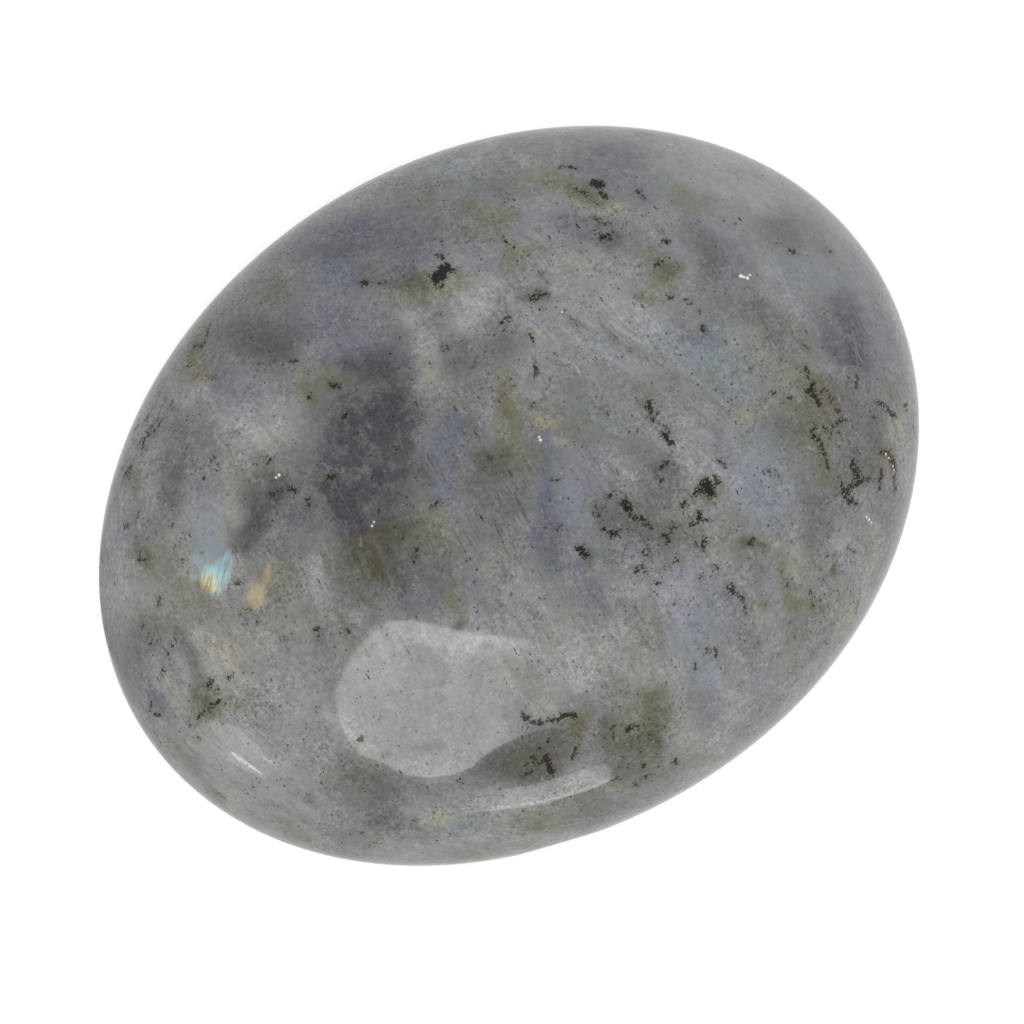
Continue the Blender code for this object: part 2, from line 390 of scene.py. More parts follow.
        (415, 556, 32, 24, 90, 0.6), (130, 640, 30, 20, 80, 0.6), (188, 650, 32, 8, 60, 0.6),
        (372, 781, 34, 20, 40, 0.75), (386, 818, 30, 15, 20, 0.7), (292, 740, 24, 12, 45, 0.12),
        # partly painted shade: the patches at 526, 762 and 520, 764 darken the wedge below the lamp's
        # reflection, over darker stone
        (590, 808, 24, 18, 0, 0.5), (526, 762, 42, 22, -12, 1.0), (520, 764, 30, 14, -14, 0.6),
        (620, 772, 26, 12, 10, 0.6), (815, 515, 32, 18, 90, 0.6), (785, 425, 32, 24, 0, 0.5),
        (860, 472, 32, 22, 0, 0.5), (870, 440, 24, 12, 0, 0.5), (775, 330, 34, 18, 40, 0.5),
        (700, 248, 28, 15, 65, 0.7), (735, 300, 42, 20, 30, 0.4), (790, 235, 28, 20, 0, 0.5),
        (636, 516, 44, 20, 20, 0.35), (670, 545, 22, 14, 0, 0.4), (510, 355, 20, 16, 0, 0.5),
        (560, 395, 20, 20, 0, 0.3), (460, 545, 30, 22, 0, 0.3), (660, 490, 22, 18, 60, 0.5),
        (510, 180, 26, 12, 20, 0.5), (600, 225, 26, 20, 0, 0.4), (760, 300, 20, 10, 60, 0.3),
        (668, 632, 30, 5, 75, 0.35), (750, 560, 12, 20, 0, 0.5), (600, 560, 18, 20, 0, 0.3),
        (680, 395, 24, 14, 40, 0.2), (625, 690, 24, 12, 80, 0.25), (190, 770, 20, 12, 45, 0.3),
        (840, 300, 24, 18, 40, 0.4), (860, 420, 22, 16, 40, 0.4), (155, 520, 24, 18, 0, 0.4),
        (388, 741, 7, 6, 0, 0.9), (428, 741, 8, 6, 0, 0.9), (440, 743, 5, 4, 0, 0.7),
        (459, 750, 6, 3, 80, 0.8), (482, 650, 9, 3, 5, 0.8), (455, 626, 4, 4, 0, 0.9),
        (437, 674, 4, 4, 0, 0.7), (437, 690, 5, 3, 60, 0.7),
    ),
    "slate": (
        (362, 447, 54, 44, 100, 0.85), (370, 455, 48, 28, 95, 0.8), (340, 436, 24, 22, 0, 0.35),
        (385, 418, 24, 20, 0, 0.6), (345, 480, 34, 24, 0, 0.65), (376, 482, 26, 24, 0, 0.7),
        (330, 506, 28, 15, 10, 0.55), (360, 516, 28, 18, 0, 0.55), (378, 373, 28, 19, 20, 0.6),
        (345, 369, 28, 7, 5, 0.4), (266, 520, 32, 15, 118, 0.75), (286, 499, 16, 11, 150, 0.45),
        (252, 543, 14, 11, 110, 0.4), (350, 532, 26, 20, 0, 0.6), (838, 325, 30, 18, 60, 0.4),
        (545, 537, 30, 10, 80, 0.4), (340, 246, 30, 9, -5, 0.3), (250, 505, 16, 12, 0, 0.6),
        (265, 352, 30, 14, 10, 0.4), (850, 345, 24, 12, 20, 0.4),
    ),
    "moss": (
        (485, 458, 18, 11, 45, 0.6), (418, 278, 12, 10, 0, 0.6), (372, 578, 34, 30, 0, 0.7),
        # partly painted shade: the patch at 520, 766 darkens the wedge below the lamp's reflection, over
        # darker stone
        (390, 536, 26, 13, -30, 0.7), (203, 692, 18, 9, 70, 0.6), (520, 766, 30, 20, 0, 0.4),
        (576, 734, 24, 12, 98, 0.35), (649, 727, 34, 12, 108, 0.65), (629, 747, 27, 11, -8, 0.6),
        (653, 749, 16, 7, 70, 0.5), (612, 728, 10, 12, 0, 0.5), (820, 402, 34, 20, 55, 0.5),
        (882, 467, 26, 12, 70, 0.5), (752, 541, 9, 7, 0, 0.8), (839, 568, 9, 4, 75, 0.9),
        (618, 516, 36, 15, 25, 0.3), (582, 552, 13, 6, 65, 0.5), (600, 190, 20, 12, 30, 0.4),
        (142, 560, 14, 9, 20, 0.5), (536, 297, 16, 8, 0, 0.5), (605, 236, 16, 10, 0, 0.5),
        (660, 262, 12, 8, 0, 0.5), (495, 460, 30, 8, 60, 0.3), (270, 485, 30, 8, 0, 0.4),
        (198, 346, 14, 8, -40, 0.6), (707, 488, 16, 12, 0, 0.3),
    ),
    "rust": (
        (205, 332, 9, 8, 0, 0.8), (200, 373, 11, 5, 0, 0.6), (250, 472, 20, 7, -5, 0.3),
        (500, 396, 26, 5, 80, 0.3), (372, 543, 12, 2.5, -30, 0.5), (192, 608, 28, 10, -8, 0.2),
        (563, 700, 14, 3, 65, 0.5), (556, 762, 9, 4, 90, 0.3), (760, 598, 13, 6, 0, 0.5),
        (842, 572, 13, 10, 0, 0.15), (852, 612, 9, 3, 80, 0.6), (820, 408, 20, 7, 65, 0.25),
        (895, 476, 20, 4, 82, 0.6), (668, 438, 5, 3, 60, 0.5), (707, 492, 12, 9, 0, 0.35),
        (294, 490, 7, 3, 0, 0.4), (892, 405, 12, 5, 40, 0.6), (552, 767, 9, 5, 70, 0.35),
        (592, 812, 18, 16, 0, 0.3), (674, 372, 5, 4, 0, 0.4), (210, 790, 12, 6, 30, 0.4),
    ),
    "peach": (
        (211, 637, 12, 7, 50, 0.4), (224, 651, 13, 9, 55, 0.45), (234, 665, 9, 7, 30, 0.5),
        (168, 678, 10, 3, 75, 0.6), (176, 696, 10, 4, 80, 0.6), (243, 565, 8, 6, 20, 0.5),
        (728, 374, 5, 6, 0, 0.35), (727, 388, 3, 3, 0, 0.3), (215, 722, 10, 4, 0, 0.5),
        (552, 446, 11, 3, 0, 0.5),
    ),
    "amber": (
        (539, 429, 13, 3, 4, 0.5), (533, 427, 12, 6, 0, 0.2), (549, 446, 8, 2.5, 0, 0.35),
        (568, 450, 9, 2.5, 20, 0.4),
    ),
}

# Dark inclusions as strokes: (half width, then the points that the stroke runs through)
INK_STROKES = (
    (7.6, (436, 277), (442, 274), (445, 268)), (3.5, (437, 256), (443, 258)),
    (3.0, (452, 271), (457, 270)), (3.0, (436, 286), (442, 285)), (4.5, (361, 283), (367, 283)),
    (2.5, (380, 283), (388, 283)), (4.5, (333, 385), (339, 386)), (3.0, (307, 393), (311, 400)),
    (3.2, (292, 361), (297, 360)), (3.6, (344, 417), (348, 414)), (2.6, (213, 377)),
    (4.5, (194, 346), (202, 346)), (2.8, (206, 340), (209, 325)), (4.0, (124, 476), (129, 468)),
    (2.4, (137, 447), (143, 438), (151, 433)), (2.2, (142, 452), (143, 441)),
    (3.0, (164, 398), (166, 400)), (3.2, (171, 403), (173, 408)), (2.6, (160, 391)),
    (2.6, (152, 411), (143, 424)), (2.6, (158, 418), (148, 430)), (2.4, (163, 419), (151, 435)),
    (2.8, (155, 430), (143, 441)), (2.8, (133, 431), (138, 426)), (2.6, (143, 444), (142, 453)),
    (2.4, (136, 443), (132, 440)), (3.2, (120, 470), (124, 466)), (3.0, (128, 478), (132, 464)),
    (2.6, (215, 456), (211, 460)), (2.6, (218, 465)), (2.6, (215, 472)), (2.6, (204, 478)),
    (2.8, (138, 513)), (2.8, (137, 519)), (3.4, (124, 526), (128, 526)), (2.4, (138, 534)),
    (3.0, (172, 525)), (3.0, (203, 553)), (2.6, (127, 553)), (2.8, (176, 545)), (2.8, (172, 645)),
    (2.6, (168, 654)), (2.6, (163, 670)), (2.6, (147, 637), (151, 645)), (2.4, (157, 628)),
    (2.8, (183, 560)), (2.6, (236, 583), (241, 584)), (3.0, (212, 680), (208, 686)), (2.6, (217, 690)),
    (3.4, (266, 461), (272, 460)), (3.0, (271, 494), (276, 492)), (2.8, (281, 490)),
    (3.8, (289, 489), (297, 491)), (3.0, (308, 498), (309, 505)), (3.4, (328, 477), (335, 477)),
    (2.6, (396, 447), (401, 451)), (2.4, (399, 495)), (3.0, (428, 503), (436, 505), (440, 503)),
    (2.6, (398, 486)), (2.2, (378, 505), (380, 512)), (2.6, (417, 548), (414, 562)), (2.2, (204, 554)),
    (3.4, (137, 559), (146, 562)), (2.6, (141, 552)), (2.8, (160, 598), (158, 606)),
    (3.0, (141, 626), (144, 624)), (2.6, (135, 634)), (2.2, (145, 640), (151, 643)),
    (2.6, (246, 610), (252, 608)), (2.2, (257, 622)), (3.0, (315, 630), (318, 628)),
    (2.4, (318, 640), (320, 636)), (2.8, (344, 628), (348, 632)), (2.2, (285, 639), (289, 638)),
    (3.2, (228, 678), (231, 677)), (2.8, (198, 718), (208, 708), (220, 701)),
    (3.2, (155, 714), (159, 715)), (2.6, (190, 725)), (2.4, (198, 739)), (2.4, (151, 703), (150, 711)),
    (2.2, (316, 709)), (2.4, (252, 787)), (2.2, (216, 792), (224, 797)), (2.4, (309, 801)),
    (2.0, (291, 780)), (4.6, (523, 716), (527, 719)), (4.2, (533, 721), (541, 723)),
    (3.8, (548, 721), (556, 719), (566, 715), (575, 716)), (4.6, (546, 757), (549, 766), (552, 773)),
    (3.4, (532, 756), (535, 762)), (3.4, (526, 765)), (3.0, (540, 749)), (3.0, (549, 741)),
    (3.2, (523, 774), (530, 772)), (3.0, (541, 762), (536, 764)), (3.0, (577, 746), (574, 757)),
    (4.0, (627, 730), (632, 726), (637, 727)), (3.0, (612, 727), (613, 736)), (2.8, (572, 757)),
    (3.0, (641, 768), (645, 764)), (2.8, (613, 780), (620, 779)), (3.0, (643, 779), (648, 776)),
    (2.4, (634, 783), (638, 786)), (2.4, (664, 728)), (2.4, (605, 738)), (2.2, (618, 745)),
    (2.4, (622, 757)), (2.2, (640, 752)), (2.2, (650, 735)), (2.2, (600, 721)),
    (2.6, (675, 759), (676, 764)), (2.2, (730, 757), (732, 752)), (2.4, (779, 700)), (2.6, (550, 818)),
    (2.4, (501, 790)), (3.0, (362, 833)), (2.2, (370, 845), (374, 842)), (2.4, (414, 819)),
    (2.4, (467, 843)), (2.6, (357, 742), (362, 738)), (2.6, (283, 841)), (3.0, (461, 781)),
    (6.5, (595, 183), (600, 185)), (3.6, (600, 192), (605, 197)), (3.2, (575, 189), (586, 194)),
    (2.4, (560, 167), (572, 167), (578, 170)), (2.4, (550, 165)), (4.6, (602, 238), (609, 237)),
    (2.8, (598, 232)), (2.6, (612, 234)), (2.8, (595, 218), (597, 220)), (2.8, (606, 224), (609, 223)),
    (2.8, (637, 191), (644, 198)), (3.4, (664, 242), (668, 242)), (3.6, (656, 264), (662, 262)),
    (2.4, (668, 257)), (2.2, (626, 222)), (4.0, (532, 298), (540, 295)), (2.4, (544, 294), (549, 296)),
    (3.2, (669, 296), (672, 298)), (2.4, (685, 301), (689, 303)), (2.4, (700, 312)),
    (3.4, (702, 328), (705, 331)), (2.8, (726, 342)), (2.6, (565, 312)), (2.4, (572, 318), (578, 324)),
    (2.2, (529, 334), (534, 343)), (2.8, (503, 238), (506, 243)), (2.4, (513, 247)),
    (3.2, (502, 322), (509, 317)), (2.8, (503, 329)), (3.0, (535, 365), (536, 374)), (2.4, (542, 274)),
    (2.2, (547, 283)), (2.8, (790, 251), (794, 252)), (2.4, (828, 251), (831, 251)),
    (2.2, (610, 336), (615, 339)), (2.2, (630, 349), (633, 351)), (2.6, (532, 404)), (2.4, (603, 408)),
    (3.2, (444, 349), (447, 347)), (2.4, (427, 364), (431, 366)), (2.2, (412, 379)),
    (3.0, (646, 405), (651, 412), (656, 414)), (2.8, (650, 402), (656, 408)),
    (2.6, (648, 415), (653, 422)), (4.2, (664, 434), (671, 443)), (3.2, (667, 428), (669, 432)),
    (3.2, (719, 461), (726, 466)), (3.0, (661, 467), (667, 463)), (3.0, (660, 478), (663, 482)),
    (6.8, (705, 483), (710, 492)), (4.2, (694, 494), (699, 491)), (3.4, (714, 478), (719, 482)),
    (2.4, (552, 480), (558, 481)), (3.4, (608, 497), (611, 494)), (5.2, (623, 502), (629, 509)),
    (4.0, (631, 516), (641, 519)), (3.4, (595, 508), (599, 516)),
    (4.0, (604, 529), (612, 534), (619, 531)), (3.4, (643, 520), (650, 528)),
    (3.6, (682, 505), (686, 502)), (4.2, (699, 512), (699, 521)), (3.4, (692, 524), (706, 519)),
    (3.0, (671, 523), (674, 527)), (2.8, (680, 526)), (3.6, (705, 538), (702, 549)),
    (3.0, (663, 536), (669, 534)), (3.0, (664, 542), (669, 541)), (2.8, (646, 541), (647, 549)),
    (2.8, (643, 554), (650, 556)), (5.2, (579, 548), (585, 555)), (2.8, (558, 532), (560, 528)),
    (2.4, (562, 549)), (2.8, (634, 571), (643, 567)), (2.4, (644, 570), (646, 576)),
    (2.6, (654, 582), (661, 585)), (2.6, (664, 568), (671, 563), (679, 559)),
    (2.8, (715, 565), (719, 569)), (3.4, (729, 585), (735, 590)), (3.2, (728, 592), (736, 594)),
    (3.2, (741, 596), (743, 599)), (2.6, (743, 603), (746, 613)), (2.8, (675, 603)),
    (3.0, (715, 650), (716, 656)), (2.6, (706, 651), (709, 650)), (2.4, (695, 665), (695, 670)),
    (3.4, (750, 543), (754, 539)), (2.0, (778, 552)), (2.8, (823, 581)), (2.4, (821, 568)),
    (2.8, (856, 602), (856, 614)), (2.4, (824, 640), (828, 645)), (2.6, (750, 634)), (2.4, (757, 643)),
    (2.4, (812, 606)), (2.2, (768, 470), (780, 476)), (3.0, (806, 368), (809, 378)),
    (4.8, (809, 391), (813, 386)), (4.0, (813, 394), (819, 404)), (3.0, (822, 391), (825, 389)),
    (2.8, (812, 431), (818, 437), (822, 446), (826, 460), (829, 468)),
    (3.0, (842, 421), (834, 424), (830, 430)), (3.6, (877, 401), (886, 408), (894, 416)),
    (3.0, (903, 409), (907, 404)), (2.6, (913, 426), (916, 438)), (4.4, (881, 451), (889, 452)),
    (4.0, (893, 460), (896, 471)), (2.8, (882, 470), (879, 490)), (3.4, (894, 478), (895, 491)),
    (4.0, (853, 462), (860, 478), (868, 479)), (3.4, (860, 479), (845, 491)),
    (4.2, (843, 491), (853, 503)), (2.6, (848, 549), (855, 552)), (2.8, (828, 556)), (2.8, (833, 556)),
    (2.6, (810, 592), (814, 607)), (2.6, (820, 600)), (2.8, (787, 585)), (2.8, (790, 622)),
    (2.8, (764, 605)), (3.0, (700, 578)), (2.8, (829, 396), (833, 401)), (3.0, (836, 410), (840, 411)),
    (2.8, (838, 421), (845, 421)), (2.8, (815, 425), (812, 431)), (3.0, (824, 430), (826, 427)),
    (3.0, (811, 436), (818, 440)), (3.0, (819, 443), (822, 449)), (2.4, (832, 433)),
    (2.4, (848, 377), (849, 382)), (2.4, (857, 376), (856, 386), (854, 391)),
    (3.0, (875, 400), (881, 404), (886, 407)), (2.8, (890, 411), (897, 415)),
    (2.4, (904, 406), (907, 410)), (3.2, (879, 450), (886, 452)), (3.4, (890, 459), (893, 468)),
    (2.8, (894, 478), (897, 489)), (2.8, (883, 472), (881, 478)), (3.2, (851, 465), (856, 477)),
    (3.4, (855, 482), (862, 480), (869, 477)), (3.0, (853, 487), (860, 484)),
    (2.4, (839, 477), (842, 487), (849, 496)), (4.4, (850, 502), (855, 504)),
    (2.2, (784, 397), (792, 399)), (2.2, (770, 394), (778, 392)), (2.6, (873, 416), (877, 421)),
    (2.4, (807, 350), (804, 346)), (2.2, (763, 379)), (2.2, (781, 359)), (2.0, (750, 369)),
    (2.2, (715, 447)), (2.2, (683, 450)),
)

# Chips painted bright with the glint of the light they catch: (x, y, half width)
GLINTING_CHIPS = (
    (741, 276, 1.9), (744, 277, 1.3), (747.5, 278, 1.6), (750, 275, 1.0), (539, 437, 1.0),
    (540.5, 440, 1.3), (866.5, 517, 1.0), (869, 519.5, 1.3), (871.5, 522.5, 1.0), (886, 454, 1.2),
    (889, 458, 1.0), (893, 466, 1.1), (894, 470, 1.0), (279, 475, 1.4), (276, 477.5, 1.0),
    (562, 312, 0.7), (374, 522, 0.9), (372, 526, 1.0),
)


# Where cleavage lines run steeply over the photograph, or nearly level, and not slanted
SHALLOW = (
    (350, 235, 90, 40, -10, 1.0), (300, 320, 80, 50, 0, 0.6), (330, 440, 60, 60, 0, 0.4),
    (500, 740, 90, 40, 0, 0.7), (820, 560, 60, 60, 20, 0.6),
)
STEEP = (
    (480, 470, 90, 110, 0, 1.0), (400, 600, 160, 60, 0, 1.0), (620, 640, 120, 90, 0, 1.0),
    (180, 620, 70, 120, 0, 0.8), (720, 640, 60, 60, 0, 0.8), (360, 440, 60, 90, 0, 0.6),
)

# Where short dark streaks run along the fibres
STREAKED = (
    (482, 482, 70, 44, 65, 1.0), (470, 388, 34, 22, 60, 0.8), (440, 505, 40, 24, 60, 0.7),
    (765, 372, 50, 34, 60, 0.7), (735, 305, 50, 26, 45, 0.6), (640, 690, 60, 40, 80, 0.5),
    (650, 610, 60, 50, 80, 0.5), (862, 360, 60, 40, 60, 0.7), (540, 545, 60, 50, 80, 0.5),
    (180, 630, 90, 50, 70, 0.4), (340, 236, 70, 26, -10, 0.5), (600, 500, 60, 40, 50, 0.5),
    (620, 420, 60, 50, 50, 0.5), (300, 340, 60, 40, 0, 0.4),
)

# Where dark specks crowd together
PEPPERED = (
    (152, 430, 46, 24, 112, 0.9), (142, 553, 40, 30, 80, 0.8), (151, 641, 40, 22, 72, 0.8),
    (216, 698, 42, 26, -20, 0.9), (256, 704, 22, 18, 0, 0.9), (203, 342, 34, 18, 110, 0.8),
    (822, 400, 36, 24, 60, 0.8), (857, 482, 48, 30, 70, 1.0), (832, 453, 40, 20, 68, 0.7),
    (842, 586, 50, 28, 112, 0.8), (663, 435, 44, 28, 55, 0.7), (698, 498, 40, 30, 0, 0.8),
    (618, 514, 50, 28, 24, 0.8), (668, 561, 34, 36, 0, 0.7), (748, 597, 40, 26, 40, 0.7),
    (556, 748, 46, 32, 0, 0.9), (628, 745, 42, 34, 20, 1.0), (601, 226, 34, 40, 0, 0.5),
    (500, 292, 56, 22, 0, 0.5), (404, 400, 60, 34, 10, 0.4), (372, 752, 60, 24, 0, 0.5),
    (221, 768, 50, 24, 48, 0.5), (502, 806, 90, 18, -5, 0.5),
)

# Where the stone is clear of grain
SMOOTH = (
    (740, 190, 150, 56, 28, 1.0), (640, 160, 110, 26, 8, 0.8), (850, 250, 60, 50, 50, 0.8),
    (430, 850, 70, 16, -8, 0.7), (240, 775, 96, 46, 42, 0.9), (160, 600, 60, 24, 80, 0.5),
    (425, 705, 90, 70, 0, 0.6), (560, 480, 24, 50, 0, 0.7), (600, 300, 60, 30, 20, 0.4),
    (740, 490, 40, 30, 0, 0.5), (700, 650, 30, 70, 0, 0.6),
)

AREAS = {"steep": STEEP, "shallow": SHALLOW, "streaked": STREAKED, "peppered": PEPPERED, "smooth": SMOOTH}

# The flash of colour, a sheen painted into the stone's colour: (x, y, half length, half width, turn,
# strength, hue along it from, to, lamellae)
FLASHES = (
    (210, 527, 24, 15, 100, 0.5, 0.0, 0.16, 0.3), (211, 556, 14, 18, 105, 0.55, 0.22, 0.46, 0.6),
    (222, 573, 20, 8, 109, 0.95, 0.5, 0.6, 1.0), (209, 574, 8, 8, 100, 0.8, 0.58, 0.72, 0.8),
    (209, 584, 7, 8, 100, 0.7, 0.76, 0.92, 1.0), (193, 577, 4, 4, 100, 0.35, 0.5, 0.56, 0.5),
    (196, 561, 8, 6, 110, 0.3, 0.4, 0.5, 0.5), (256, 596, 13, 9, 100, 0.48, 0.76, 0.86, 0.3),
    (267, 576, 13, 3.5, 100, 0.4, 0.84, 0.98, 0.4),
)


# For the sides and the underside, how many patches of each kind are scattered, and their half length
UNSEEN = {
    "pearl_and_sheen": (12, 60),
    "mist": (12, 60),
    "dusk": (10, 50),
    "teal": (8, 26),
    "sky": (6, 26),
    "violet": (14, 34),
    "blue": (6, 26),
    "lavender": (10, 30),
    "pale": (10, 28),
    "cream": (10, 26),
    "olive": (18, 28),
    "shade": (14, 34),
    "slate": (6, 40),
    "moss": (10, 20),
    "rust": (8, 11),
    "peach": (4, 9),
    "amber": (2, 9),
    "steep": (6, 70),
    "shallow": (6, 70),
    "streaked": (12, 50),
    "peppered": (22, 40),
    "smooth": (6, 60),
}
UNSEEN_SEED = 11
UNSEEN_TOP = -0.12  # how high they reach, from -1 straight below to 1 straight above
UNSEEN_CLUSTERS = 26
UNSEEN_LENGTHS = (0.6, 1.5)  # as a share of the kind's half length
UNSEEN_WIDTHS = (0.35, 0.75)  # as a share of the patch's own length
UNSEEN_STRENGTHS = (0.45, 1.0)

# Dark strokes on the sides and the underside, in pixels of the photograph
UNSEEN_IN_CLUSTER = (2, 6)
UNSEEN_SPREAD = (16, 9)  # along the cluster and across it
UNSEEN_BENDS = (0, 2)
UNSEEN_STEPS = ((3, 9), (-5, 5))  # along the cluster and across it
UNSEEN_HALF_WIDTHS = (2.2, 4.5)
FAR_OUTSIDE = -20.0  # the ink depth of a point that is near no stroke

# Least divisors, for a stroke of one point and for a place without the flash
LEAST_RUN = 1e-12
LEAST_COVER = 1e-6

SRGB_KNEE = 10 / 255  # sRGB is straight below this share of white


def srgb(red, green, blue):
    """A colour as the photograph shows it, 0 to 255, in linear light."""
    shares = (red / 255, green / 255, blue / 255)
    return tuple(((c + 0.055) / 1.055) ** 2.4 if c > SRGB_KNEE else c / 12.92 for c in shares)


# How much light an upward face gets, as a share of a white page, and the gloss on top of it
LIGHT_ON_STONE = 1.25
GLOSS_ON_STONE = 0.022
DARKEST = 0.004


def stone_colour(red, green, blue):
    lit = [max(DARKEST, (c - GLOSS_ON_STONE) / LIGHT_ON_STONE) for c in srgb(red, green, blue)]
    return (*lit, 1.0)


KIND_COLOURS = {
    "teal": (123, 131, 133),
    "sky": (130, 137, 145),
    "violet": (99, 99, 108),
    "blue": (105, 110, 121),
    "lavender": (147, 147, 154),
    "pale": (160, 160, 161),
    "pearl_and_sheen": (155, 156, 151),
    "mist": (127, 129, 136),
    "dusk": (104, 105, 104),
    "cream": (153, 153, 138),
    "olive": (109, 108, 87),
    "shade": (94, 94, 93),
    "slate": (76, 76, 81),
    "moss": (81, 78, 62),
    "rust": (114, 101, 86),
    "peach": (166, 157, 148),
    "amber": (163, 153, 117),
}
# How soft each kind's edge is, as a share of the patch
EDGE_SOFTNESS = {"slate": 0.7, "moss": 0.6, "rust": 0.6, "peach": 0.6, "amber": 0.6}
DEFAULT_SOFTNESS = 0.80
FLASH_SOFTNESS = 0.45
PATCH_DEPTH = 0.8  # how deep a patch reaches into the stone, as a share of its two half sizes
SWIRLS = ((90.0, 0.0011), (230.0, 0.0009), (600.0, 0.0004))  # waves per metre, and reach in metres


def warped(points):
    """The points moved by a swirl of noise, so that round patches get broken edges.

    Blender takes this noise's offsets from the clock, so the edges differ a little in each run.
    """
    moved = np.array(points)
    for per_metre, reach in SWIRLS:
        swirl = np.array([noise.noise_vector(Vector(p) * per_metre) for p in points])
        moved = moved + swirl * reach
    return moved


def patch_axes(turn):
    """A patch's directions over the photograph, and the one towards the camera, in the CAD frame."""
    lean = math.radians(turn)
    along = PHOTO_RIGHT * math.cos(lean) - PHOTO_UP * math.sin(lean)
    across = PHOTO_RIGHT * math.sin(lean) + PHOTO_UP * math.cos(lean)
    return np.array(along), np.array(across), np.array([0.0, 0.0, 1.0])


def patch_cover(points, centre, axes, half_length, half_width, softness):
    """1 inside a patch, falling to 0 over its soft edge."""
    away = points - np.array(centre)
    along = away @ axes[0] / (half_length * METRES_PER_PIXEL)
    across = away @ axes[1] / (half_width * METRES_PER_PIXEL)
    deep = away @ axes[2] / (PATCH_DEPTH * (half_length + half_width) * METRES_PER_PIXEL)
    distance = np.sqrt(along ** 2 + across ** 2 + deep ** 2)
    rise = np.clip((1.0 + softness - distance) / (2 * softness), 0.0, 1.0)
    return rise * rise * (3 - 2 * rise)


def placed(stone, patches):
    """Patches given in pixels of the photograph, as centre, axes, half sizes and strength."""
    return [(on_stone(stone, x, y)[0], patch_axes(turn), half_length, half_width, strength)
            for x, y, half_length, half_width, turn, strength in patches]


def patches_cover(moved, patches, softness):
    """How much of each point a set of placed patches covers, 0 to 1."""
    cover = np.zeros(len(moved))
    for centre, axes, half_length, half_width, strength in patches:
        patch = patch_cover(moved, centre, axes, half_length, half_width, softness)
        cover = 1.0 - (1.0 - cover) * (1.0 - np.minimum(patch * strength, 1.0))
    return cover


def unseen_place(chance, highest):
    """A random point of the sides or the underside, and three directions there."""
    turn = chance.uniform(0.0, 2 * math.pi)
    level = chance.uniform(-1.0, highest)
    reach = math.sqrt(1.0 - level * level)
    ray = np.array([[reach * math.cos(turn), reach * math.sin(turn), level]])
    point = stone_surface(ray)[0]
    outward = point - np.array([0.0, 0.0, GIRDLE_HEIGHT])
    outward = outward / np.array([LENGTH, WIDTH, THICKNESS]) ** 2
    outward = outward / np.linalg.norm(outward)
    along = np.cross(outward, [chance.gauss(0, 1), chance.gauss(0, 1), chance.gauss(0, 1)])
    along = along / np.linalg.norm(along)
    return point, (along, np.cross(outward, along), outward)


def unseen_patches(chance, count, half_length):
    """Placed patches for the sides and the underside, which the photograph does not show."""
    patches = []
    for _ in range(count):
        centre, axes = unseen_place(chance, UNSEEN_TOP)
        length = half_length * chance.uniform(*UNSEEN_LENGTHS)
        width = length * chance.uniform(*UNSEEN_WIDTHS)
        patches.append((centre, axes, length, width, chance.uniform(*UNSEEN_STRENGTHS)))
    return patches


def add_attribute(stone, name, values):
    attribute = stone.data.attributes.new(name, "FLOAT", "POINT")
    attribute.data.foreach_set("value", np.asarray(values, np.float32))


def stroke_depth(points, places, half_width):
    """How far inside a stroke each point lies, in pixels of the photograph."""
    best = np.full(len(points), FAR_OUTSIDE)
    ends = list(zip(places, places[1:])) or [(places[0], places[0])]
    for start, end in ends:
        start, end = np.array(start), np.array(end)
        run = end - start
        share = np.clip((points - start) @ run / max(run @ run, LEAST_RUN), 0.0, 1.0)
        away = np.linalg.norm(points - start - share[:, None] * run, axis=1)
        best = np.maximum(best, half_width - away / METRES_PER_PIXEL)
    return best


def unseen_strokes(chance):
    """Clusters of short dark strokes for the sides and the underside."""
    strokes = []
    for _ in range(UNSEEN_CLUSTERS):
        middle, (along, across, _) = unseen_place(chance, UNSEEN_TOP)
        for _ in range(chance.randint(*UNSEEN_IN_CLUSTER)):
            aside = along * chance.gauss(0, UNSEEN_SPREAD[0]) + across * chance.gauss(0, UNSEEN_SPREAD[1])
            places = [middle + aside * METRES_PER_PIXEL]
            for _ in range(chance.randint(*UNSEEN_BENDS)):
                step = along * chance.uniform(*UNSEEN_STEPS[0]) + across * chance.uniform(*UNSEEN_STEPS[1])
                places.append(places[-1] + step * METRES_PER_PIXEL)
            strokes.append((chance.uniform(*UNSEEN_HALF_WIDTHS), places))
    return strokes


def ink_depth(stone, points, chance):
    strokes = [(half_width, [on_stone(stone, x, y)[0] for x, y in pixels])
               for half_width, *pixels in INK_STROKES]
    depth = np.full(len(points), FAR_OUTSIDE)
    for half_width, places in strokes + unseen_strokes(chance):
        depth = np.maximum(depth, stroke_depth(points, places, half_width))
    return depth


def flash_cover(stone, points):
    """The flash's cover, its hue and how much its lamellae show, at every point."""
    cover = np.zeros(len(points))
    hue = np.zeros(len(points))
    lamellae = np.zeros(len(points))
    for x, y, half_length, half_width, turn, strength, hue_from, hue_to, own_lamellae in FLASHES:
        place, _ = on_stone(stone, x, y)
        axes = patch_axes(turn)
        patch = strength * patch_cover(points, place, axes, half_length, half_width, FLASH_SOFTNESS)
        along = (points - np.array(place)) @ axes[0] / (half_length * METRES_PER_PIXEL)
        own_hue = hue_from + (hue_to - hue_from) * np.clip(along / 2 + 0.5, 0.0, 1.0)
        hue = hue + own_hue * patch
        lamellae = lamellae + own_lamellae * patch
        cover = cover + patch
    whole = np.maximum(cover, LEAST_COVER)
    return np.minimum(cover, 1.0), hue / whole, lamellae / whole


